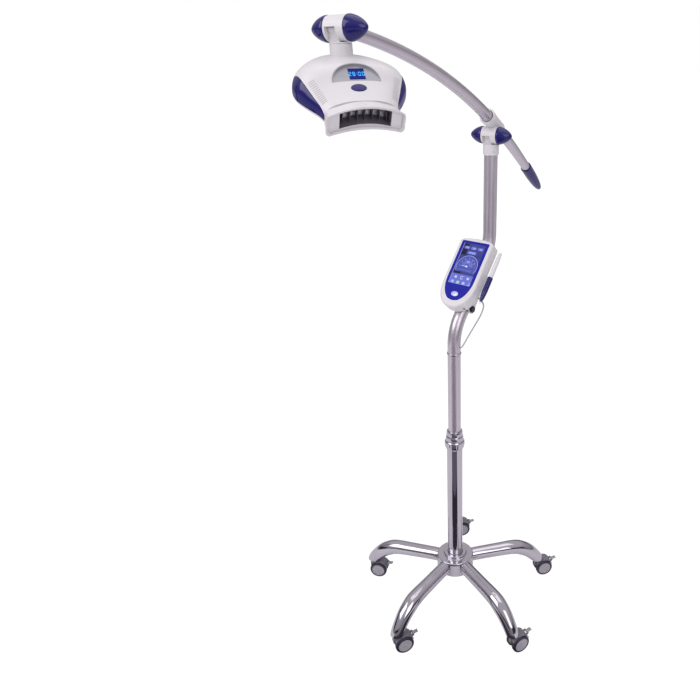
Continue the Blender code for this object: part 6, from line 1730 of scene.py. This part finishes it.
def make_lower_shell():
    columns = head_columns(lambda s: 0.0, lambda s: 1.0, lambda s: HEAD_DEPTH, 22,
                           lambda s, side: True)
    for column in columns:
        for row in column:
            for point in row:
                share = (HEAD_BACK - point.y) / head_length()
                near = min(max((share - HEAD_SPINE_START) / (1 - HEAD_SPINE_START), 0), 1)
                lift = MOUTH_ARCH * near ** 2 * max(1 - (point.x / MOUTH_BACK_HALF) ** 2, 0)
                point.z = lift * point.z / HEAD_DEPTH - GAP - point.z
    bm = bmesh.new()
    grid_shell(bm, columns, False)
    base = split_place()
    tray = object_of("head_lower_shell_moulded", bm, base, 40)
    vents = []
    for k in range(TRAY_VENTS):
        slot = soft_box(0.0440, 2 * SLOT_END, SLOT_END, (0, TRAY_VENT_START + TRAY_VENT_PITCH * k))
        vents.append(plate("vent", slot, -0.0135, -0.0095, place=base))
    cut(tray, *vents, crease=40)
    fit(tray, "head", "white", "head_lower_shell")


def crescent(half, side, rise, floor, arch, corner, fine=36):
    """Crescent loop in (across, up from the split), clockwise from left."""
    spans = [math.sin(math.pi / 2 * (-1 + 2 * i / fine)) for i in range(fine + 1)]
    bend = corner * 0.75
    loop = []
    for t in spans:
        past = max(abs(half * t) - (half - bend), 0) / bend
        drop = bend * (1 - math.sqrt(max(1 - past * past, 0)))
        loop.append((half * t, side + rise * (1 - t * t) - drop))
    loop.append((half, corner - floor))
    inner = half - corner
    bends = [math.pi / 2 * i / 8 for i in range(1, 8)]
    loop += [(inner + corner * math.cos(a), corner * (1 - math.sin(a)) - floor) for a in bends]
    loop += [(-inner * t, arch * (1 - t * t) - floor) for t in spans]
    loop += [(-inner - corner * math.cos(a), corner * (1 - math.sin(a)) - floor)
             for a in reversed(bends)]
    loop.append((-half, corner - floor))
    return loop


def loft(name, rings, place, crease=35):
    """A solid through several outlines that face along Y."""
    bm = bmesh.new()
    made = [[bm.verts.new((x, y, z)) for x, z in loop] for loop, y in rings]
    for a, b in zip(made, made[1:]):
        for k in range(len(a)):
            j = (k + 1) % len(a)
            bm.faces.new((a[k], b[k], b[j], a[j]))
    bm.faces.new(made[0])
    bm.faces.new(list(reversed(made[-1])))
    return object_of(name, bm, place, crease)


def pocket_loop(more):
    """Outline of the pocket behind the mouth's rim, grown by an amount."""
    return crescent(
        MOUTH_FRONT_HALF - MOUTH_RIM + more, MOUTH_FRONT_SIDE - MOUTH_RIM / 2 + more,
        MOUTH_FRONT_RISE - MOUTH_RIM / 2, MOUTH_FLOOR - MOUTH_RIM + more, MOUTH_ARCH,
        MOUTH_CORNER - MOUTH_RIM / 2 + more)


def recess_loop(taper, less, corner):
    """Outline of the lamp recess, drawn in by its taper and by an amount."""
    return crescent(RECESS_HALF - taper - less, RECESS_TOP - taper - less, RECESS_ARCH,
                    RECESS_FLOOR - taper - less, RECESS_ARCH, corner)


def make_mouth():
    """The flared lamp mouth with its liner, board, dividers and lenses."""
    base = split_place()
    back = -HEAD_FRONT - GAP
    front = back - MOUTH_DEPTH
    rings = []
    for t in MOUTH_STEPS:
        half, side, rise = [a + (b - a) * t ** MOUTH_FLARE for a, b in (
            (MOUTH_BACK_HALF, MOUTH_FRONT_HALF), (MOUTH_BACK_SIDE, MOUTH_FRONT_SIDE),
            (MOUTH_BACK_RISE, MOUTH_FRONT_RISE))]
        less = 0.0006 if t == 0 else 0
        rings.append((crescent(half - less, side - less, rise, MOUTH_FLOOR, MOUTH_ARCH, MOUTH_CORNER),
                      back + (front - back) * t))
    for less, t in MOUTH_RIM_STEPS:
        rings.append((crescent(MOUTH_FRONT_HALF - less, MOUTH_FRONT_SIDE - less, MOUTH_FRONT_RISE,
                               MOUTH_FLOOR - less, MOUTH_ARCH, MOUTH_CORNER - less),
                      back + (front - back) * t))
    flare = loft("lamp_mouth_moulded", rings, base)
    inner, wide = pocket_loop(0), pocket_loop(MOUTH_LIP)
    pocket = loft("pocket", [(wide, front - OVERRUN), (wide, front), (inner, front + 0.0016),
                             (inner, front + MOUTH_POCKET)], base)
    recess = loft("recess", [(recess_loop(0, 0, 0.0012), front),
                             (recess_loop(RECESS_TAPER, 0, 0.0007), back + OVERRUN)], base)
    middle = (front + back) / 2
    sensor = rod("sensor_hole", 0.0009, (0, middle, MOUTH_BACK_SIDE + MOUTH_BACK_RISE - 0.0005),
                 (0, middle, MOUTH_FRONT_SIDE + MOUTH_FRONT_RISE + OVERRUN), base, 24)
    cut(flare, pocket, recess, sensor)
    fit(flare, "head", "white", "lamp_frame")

    near = back + 2 * GAP
    far = near + LED_BOARD
    sleeves = []
    for less in LINER_FACES:
        wide = recess_loop(0, less, 0.0010)
        tight = recess_loop(RECESS_TAPER, less, 0.0006)
        deeper = 0.0 if less == LINER_FACES[0] else 0.003
        sleeves.append(loft("liner", [(wide, front + MOUTH_POCKET + 0.0005 - deeper),
                                      (tight, near - 0.0004 + deeper)], base))
    liner = cut(sleeves[0], sleeves[1])
    liner.name = "lamp_recess_liner"
    # The liner's and the dividers' finishes carry painted shade of the deep recess in their darker
    # tones
    fit(liner, "head", "liner")
    cover = crescent(RECESS_HALF, RECESS_TOP - RECESS_TAPER + 0.0007, RECESS_ARCH,
                     RECESS_FLOOR - RECESS_TAPER + 0.0007, RECESS_ARCH, 0.0007)
    fit(loft("lamp_board", [(cover, near), (cover, far)], base), "head", "dark", "led_board")

    cells = []
    cell_low, cell_high = RECESS_TAPER - RECESS_FLOOR, RECESS_TOP - RECESS_TAPER
    for i in range(LED_COUNT + 1):
        x = (i - LED_COUNT / 2) * LED_PITCH
        lift = RECESS_ARCH * (1 - (x / RECESS_HALF) ** 2)
        cells.append(block(
            "cell", (x - CELL_HALF, front + MOUTH_POCKET + CELL_SETBACK, cell_low + lift + CELL_MARGIN),
            (x + CELL_HALF, near - 0.0002, cell_high + lift - CELL_MARGIN), base, 0.0002))
    fit(join("lamp_reflector_cells", cells), "head", "divider")

    lamp_base = near - GAP
    reach = LED_PITCH * LED_COUNT / 2
    band = crescent(reach, LED_BAND_LOW + LED_BAND_HEIGHT, RECESS_ARCH, -LED_BAND_LOW, RECESS_ARCH,
                    0.0007)
    items = [loft("strip", [(band, lamp_base - LED_STRIP), (band, lamp_base)], base)]
    for i in range(LED_COUNT):
        x = (i - (LED_COUNT - 1) / 2) * LED_PITCH
        rise = LED_BAND_LOW + LED_BAND_HEIGHT / 2 + RECESS_ARCH * (1 - (x / reach) ** 2)
        profile = [(LED_RADIUS * math.cos(a), LED_HEIGHT * math.sin(a))
                   for a in [math.pi / 2 * (1 - k / 12) for k in range(13)]]
        profile[0] = (0, LED_HEIGHT)
        profile += [(LED_RADIUS, -LED_STRIP / 2), (0, -LED_STRIP / 2)]
        at = turn_about((x, lamp_base - LED_STRIP, rise), (math.pi / 2, 0, 0), base)
        items.append(revolved("dome", profile, at, 48))
    fit(join("lamp_lenses_polished", items), "head", "lens", "led_lenses")
    carry("heat_sink", "aluminium")
    carry("cooling_fan", "dark")


def make_window():
    """The timer window, cut flush with the dome, its display, the start key and the plug."""
    head = head_place()
    plane = window_place(head)
    arch = [(WINDOW_WIDTH / 2 * math.cos(math.pi * k / 64), WINDOW_HEIGHT * math.sin(math.pi * k / 64))
            for k in range(65)]
    pane = plate("timer_window_satin", arch, -WINDOW_THICKNESS, WINDOW_REACH, place=plane)
    inside = [(x * (1 - 2 * WINDOW_RIM / WINDOW_WIDTH), y * (1 - WINDOW_RIM / WINDOW_HEIGHT)
               - (0.004 if y < TINY * 10 else 0)) for x, y in arch]
    pocket = plate("pocket", inside, 0.0, 0.032, place=plane)
    cut(pane, pocket)
    bm = bmesh.new()
    columns = [c[0] for c in head_columns(lambda s: 0.0, lambda s: 1.0, head_height, 34,
                                          lambda s, side: True)]
    grid = [[bm.verts.new(p) for p in column] for column in columns]
    for i in range(len(grid) - 1):
        for k in range(len(grid[0]) - 1):
            bm.faces.new((grid[i][k], grid[i + 1][k], grid[i + 1][k + 1], grid[i][k + 1]))
    bmesh.ops.remove_doubles(bm, verts=bm.verts, dist=TINY)
    bmesh.ops.contextual_create(bm, geom=[e for e in bm.edges if e.is_boundary])
    dome = object_of("dome", bm, split_place(), 40)
    cut(pane, dome, operation="INTERSECT")
    base = DISPLAY_PLACE - DISPLAY_HEIGHT / 2
    high = DISPLAY_PLACE + DISPLAY_HEIGHT / 2 + DISPLAY_EXTRA
    half = DISPLAY_WIDTH / 2 - 0.0012
    left, right = DISPLAY_SHIFT - half, DISPLAY_SHIFT + half
    slot = block("slot", (left - GAP, base - GAP, -0.02), (right + GAP, high + GAP, 0.02), plane)
    cut(pane, slot)
    fit(pane, "head", "window", "window_bezel")

    glass = block("timer_glass", (left, base, -DISPLAY_THICKNESS), (right, high, 0.0), plane, 0.0003)
    fit(glass, "head", "display", "timer_display")
    marks = digits("mark", "28:00", 0.0074, 0.0009, (DISPLAY_SHIFT, (base + high) / 2), -0.0001,
                   0.00012, plane)
    fit(join("timer_digits", marks), "head", "digits")

    key = plate("start_key_gloss", oval(BUTTON_WIDTH, BUTTON_DEPTH, 96), BUTTON_PROUD - BUTTON_HEIGHT,
                BUTTON_PROUD - 0.0004, 0.0006, 0.0003, button_place(head), 5, crown=0.0006)
    fit(key, "start_key", "blue", "start_button")
    plug = plate("crown_plug", plug_oval(PLUG_SIZE), -0.0010, -0.00005, 0.0003, 0.0,
                 dimple_place(head), 3)
    fit(plug, "head", "white")


def make_collar():
    swivel = swivel_place()
    seam, foot = -GAP, -NECK_COLLAR_LENGTH
    bore, deep = NECK_PIN_RADIUS + GAP, -NECK_PIN_LENGTH - GAP
    collar = revolved("neck_collar_moulded", rounded([
        (0, deep), (bore, deep), (bore, seam), (NECK_RADIUS, seam), (NECK_RADIUS, foot),
        (0, foot)], 0.0004, 3), swivel, 96)
    cut(collar, set_screw_hole(0.0017, NECK_RADIUS, 0.0018, -0.0095, -36, swivel))
    fit(collar, "head", "white", "neck_collar")


# Stage


def area_light(name, place, target, size, power):
    data = bpy.data.lights.new(name, "AREA")
    data.shape = "RECTANGLE"
    data.size, data.size_y = size
    data.energy = power
    obj = bpy.data.objects.new(name, data)
    bpy.context.scene.collection.objects.link(obj)
    obj.location = place
    obj.rotation_euler = (Vector(target) - Vector(place)).to_track_quat("-Z", "Y").to_euler()


def matt(name, tone, rough):
    """Plain studio paint or board."""
    made = bpy.data.materials.new(name)
    made.use_nodes = True
    shader = made.node_tree.nodes["Principled BSDF"]
    shader.inputs["Base Color"].default_value = linear(tone)
    shader.inputs["Roughness"].default_value = rough
    return made


def looked_at(tree):
    """1 for rays straight from the camera or through glass, else 0."""
    path = add(tree, "ShaderNodeLightPath")
    seen = add(tree, "ShaderNodeMath", {"operation": "MAXIMUM"})
    tree.links.new(path.outputs["Is Camera Ray"], seen.inputs[0])
    tree.links.new(path.outputs["Is Transmission Ray"], seen.inputs[1])
    return seen.outputs[0]


def blend(tree, share, first, second, end):
    """Mixes two shaders by a share and feeds the end node."""
    mix = add(tree, "ShaderNodeMixShader", links={"Fac": share})
    tree.links.new(first, mix.inputs[1])
    tree.links.new(second, mix.inputs[2])
    tree.links.new(mix.outputs["Shader"], tree.nodes[end].inputs["Surface"])


def make_card(obj, paint):
    """A card of the studio that only reflections see."""
    obj.data.materials.append(paint)
    for flag in ("visible_camera", "visible_diffuse", "visible_shadow", "visible_transmission"):
        setattr(obj, flag, False)


def make_floor():
    """White sweep that keeps the lamp's shadow."""
    floor = plate("studio_floor", oval(80, 80, 64), -0.02, 0.0)
    paint = matt("studio_floor_paint", "#f3f3f5", 0.9)
    tree = paint.node_tree
    white = add(tree, "ShaderNodeEmission", values={"Color": (1, 1, 1, 1), "Strength": 1.14})
    share = add(tree, "ShaderNodeMath", {"operation": "MULTIPLY"})
    tree.links.new(looked_at(tree), share.inputs[0])
    share.inputs[1].default_value = FLOOR_WHITE
    blend(tree, share.outputs[0], tree.nodes["Principled BSDF"].outputs["BSDF"],
          white.outputs["Emission"], "Material Output")
    floor.data.materials.append(paint)


def make_world(fill):
    """Even light all round, stronger from above, and a white backdrop."""
    world = bpy.data.worlds.new("studio")
    bpy.context.scene.world = world
    world.use_nodes = True
    tree = world.node_tree
    plain = tree.nodes["Background"]
    plain.inputs["Color"].default_value = linear("#ece8ec")
    where = add(tree, "ShaderNodeTexCoord")
    part = add(tree, "ShaderNodeSeparateXYZ", links={"Vector": where.outputs["Generated"]})
    slope = add(tree, "ShaderNodeMapRange",
                values={"From Min": -0.05, "From Max": 0.65, "To Min": fill * FILL_BELOW,
                        "To Max": fill * FILL_ABOVE},
                links={"Value": part.outputs["Z"]})
    tree.links.new(slope.outputs["Result"], plain.inputs["Strength"])
    bright = add(tree, "ShaderNodeBackground", values={"Color": (1, 1, 1, 1), "Strength": 1.0})
    blend(tree, looked_at(tree), plain.outputs["Background"], bright.outputs["Background"],
          "World Output")


def make_cards():
    """Dark upright cards, and a dark wedge on the floor: the tubes' dark streaks."""
    board = matt("studio_card_black", "#2c2935", 0.8)
    for name, spot, size in UPRIGHT_CARDS:
        at = Vector(spot)
        turn = (Vector((0, 0, 0.6)) - at).to_track_quat("Z", "Y").to_matrix().to_4x4()
        make_card(plate(name, soft_box(*size, 0.05), -0.004, 0.004, 0.001, 0.001,
                        Matrix.Translation(at) @ turn), board)
    for (near, right, left), (far, far_right, far_left), tone in zip(
            FLOOR_WEDGE, FLOOR_WEDGE[1:], WEDGE_TONES):
        corners = ((near, right), (far, far_right), (far, far_left), (near, left))
        loop = [arc(r, [WEDGE_FACING + math.radians(a)])[0] for r, a in corners]
        make_card(plate("card_floor", loop, 0.0012, 0.0020), matt("studio_card_floor", tone, 0.8))


def make_stage():
    """White sweep, soft lights, dark cards for the plated parts, camera."""
    scene = bpy.context.scene
    settings = scene.lamp_stage
    make_floor()
    make_world(settings.fill)
    area_light("key_softbox", (-1.2, -2.6, 3.0), (0, 0, 0.9), (2.4, 2.4), settings.key)
    area_light("side_softbox", (2.6, -1.4, 2.2), (0, 0, 0.8), (1.8, 2.2), settings.key * 0.45)
    area_light("top_softbox", (0.2, 0.4, 3.4), (0, 0, 0.5), (2.4, 2.4), settings.key * 0.34)
    make_cards()

    data = bpy.data.cameras.new("camera")
    data.lens = CAMERA_LENS
    data.shift_x, data.shift_y = CAMERA_SHIFT
    data.clip_end = VIEW_END
    camera = bpy.data.objects.new("camera", data)
    scene.collection.objects.link(camera)
    camera.location = CAMERA_PLACE
    camera.rotation_euler = (math.pi / 2 - CAMERA_DOWN, 0, CAMERA_TURN)
    scene.camera = camera
    scene.view_settings.view_transform = "Standard"


# Settings


def colour(name, description, default):
    return bpy.props.FloatVectorProperty(
        name=name, description=description, default=linear(default)[:3], subtype="COLOR", size=3,
        min=0.0, max=1.0)


class StandSettings(bpy.types.PropertyGroup):
    chrome: colour("Chrome", "Tint of the plated steel", "#c6c3cb")
    housing: colour("Castor housing", "Colour of the castor housings", "#7b7781")
    disc: colour("Wheel disc", "Colour of the flat wheel discs", "#a5a1aa")
    tread: colour("Tread", "Colour of the castor treads", "#1d1a2e")


class ControlSettings(bpy.types.PropertyGroup):
    bezel: colour("Bezel", "Colour of the printed overlay", "#1a1f96")
    glow: bpy.props.FloatProperty(
        name="Screen glow", description="How brightly the touch screen shines", default=0.42,
        min=0.0, max=2.0, subtype="FACTOR")


class ArmSettings(bpy.types.PropertyGroup):
    tube: colour("Tube", "Tint of the anodised tubes", "#c4bcc6")


class HeadSettings(bpy.types.PropertyGroup):
    shell: colour("Shell", "Colour of the white housings", "#dcd9dc")
    accent: colour("Accent", "Colour of the glossy panels, caps and keys", "#140f5c")
    window: colour("Window", "Colour of the timer window", "#97969f")
    timer: colour("Timer", "Colour of the timer panel", "#0a1060")
    digits: colour("Digits", "Colour of the timer digits", "#2b9fe6")
    glow: bpy.props.FloatProperty(
        name="Digit glow", description="How brightly the digits shine", default=0.9, min=0.0,
        max=3.0, subtype="FACTOR")
    vents: bpy.props.IntProperty(
        name="Vents", description="Slots on each flank of the head", default=13, min=3, max=20)
    vent_length: bpy.props.FloatProperty(
        name="Vent length", description="Length of one slot", default=0.011, min=0.004, max=0.02,
        subtype="DISTANCE", unit="LENGTH")


class StageSettings(bpy.types.PropertyGroup):
    key: bpy.props.FloatProperty(
        name="Key light", description="Power of the main softbox in watts", default=48.0, min=0.0,
        max=1000.0, subtype="POWER")
    fill: bpy.props.FloatProperty(
        name="Fill", description="Strength of the even light all round", default=0.42, min=0.0,
        max=2.0)


# Operators


def make_base():
    make_hub()
    make_legs()


def make_castors():
    for i in range(LEG_COUNT):
        make_castor(i)


def make_controller():
    make_case()
    make_bracket()


def make_neck():
    make_head_joint()
    make_collar()


def make_head():
    make_upper_shell()
    make_side_panels()
    make_lower_shell()


def operator_for(name, label, about, build):
    """An operator that runs one build function."""
    def execute(self, context):
        build()
        return {"FINISHED"}

    return type("LAMP_OT_" + name, (bpy.types.Operator,), {
        "__doc__": about, "bl_idname": "lamp." + name, "bl_label": label, "execute": execute})


# In building order
OPERATORS = [operator_for(*step) for step in (
    ("stage", "Stage", "Set up the floor, lights, world and camera", make_stage),
    ("cord", "Cord", "Lay the controller's cord", make_cord),
    ("base", "Star base", "Build the plated star base", make_base),
    ("castors", "Castors", "Build the five braked castors", make_castors),
    ("column", "Column", "Build the telescopic column, its collar and the joint ring", make_column),
    ("mast", "Mast", "Build the bent mast tube", make_mast),
    ("controller", "Controller", "Build the controller's case, key, bracket and knob",
     make_controller),
    ("screen", "Screen", "Draw the touch screen's readouts, dial and keys", make_screen),
    ("pen", "Pen and holder", "Build the pen and its holder", make_stylus),
    ("mast_joint", "Mast joint", "Build the joint between the mast and the arm", make_mast_joint),
    ("arm", "Arm", "Build the bowed arm and its end cup", make_arm),
    ("head_joint", "Head joint", "Build the joint and neck that carry the head", make_neck),
    ("head", "Head", "Build the head's shells and side panels", make_head),
    ("mouth", "Mouth", "Build the lamp mouth, its board, dividers and lenses", make_mouth),
    ("window", "Window and key", "Build the timer window, its display and the start key",
     make_window),
)]
GROUPS = (
    ("lamp_stand", StandSettings), ("lamp_control", ControlSettings), ("lamp_arm", ArmSettings),
    ("lamp_head", HeadSettings), ("lamp_stage", StageSettings),
)


class LAMP_PT_panel(bpy.types.Panel):
    """Lists the lamp's settings and its build steps"""
    bl_label = "Teeth whitening lamp"
    bl_idname = "LAMP_PT_panel"
    bl_space_type = "VIEW_3D"
    bl_region_type = "UI"
    bl_category = "Lamp"

    def draw(self, context):
        for name, group in GROUPS:
            box = self.layout.box()
            for key in group.__annotations__:
                box.prop(getattr(context.scene, name), key)
        for operator in OPERATORS:
            self.layout.operator(operator.bl_idname)


def register():
    for name, group in GROUPS:
        bpy.utils.register_class(group)
        setattr(bpy.types.Scene, name, bpy.props.PointerProperty(type=group))
    for operator in OPERATORS:
        bpy.utils.register_class(operator)
    bpy.utils.register_class(LAMP_PT_panel)


def unregister():
    bpy.utils.unregister_class(LAMP_PT_panel)
    for operator in reversed(OPERATORS):
        bpy.utils.unregister_class(operator)
    for name, group in reversed(GROUPS):
        delattr(bpy.types.Scene, name)
        bpy.utils.unregister_class(group)


def main():
    register()
    for operator in OPERATORS:
        getattr(bpy.ops.lamp, operator.bl_idname.split(".")[1])()


if __name__ == "__main__":
    main()
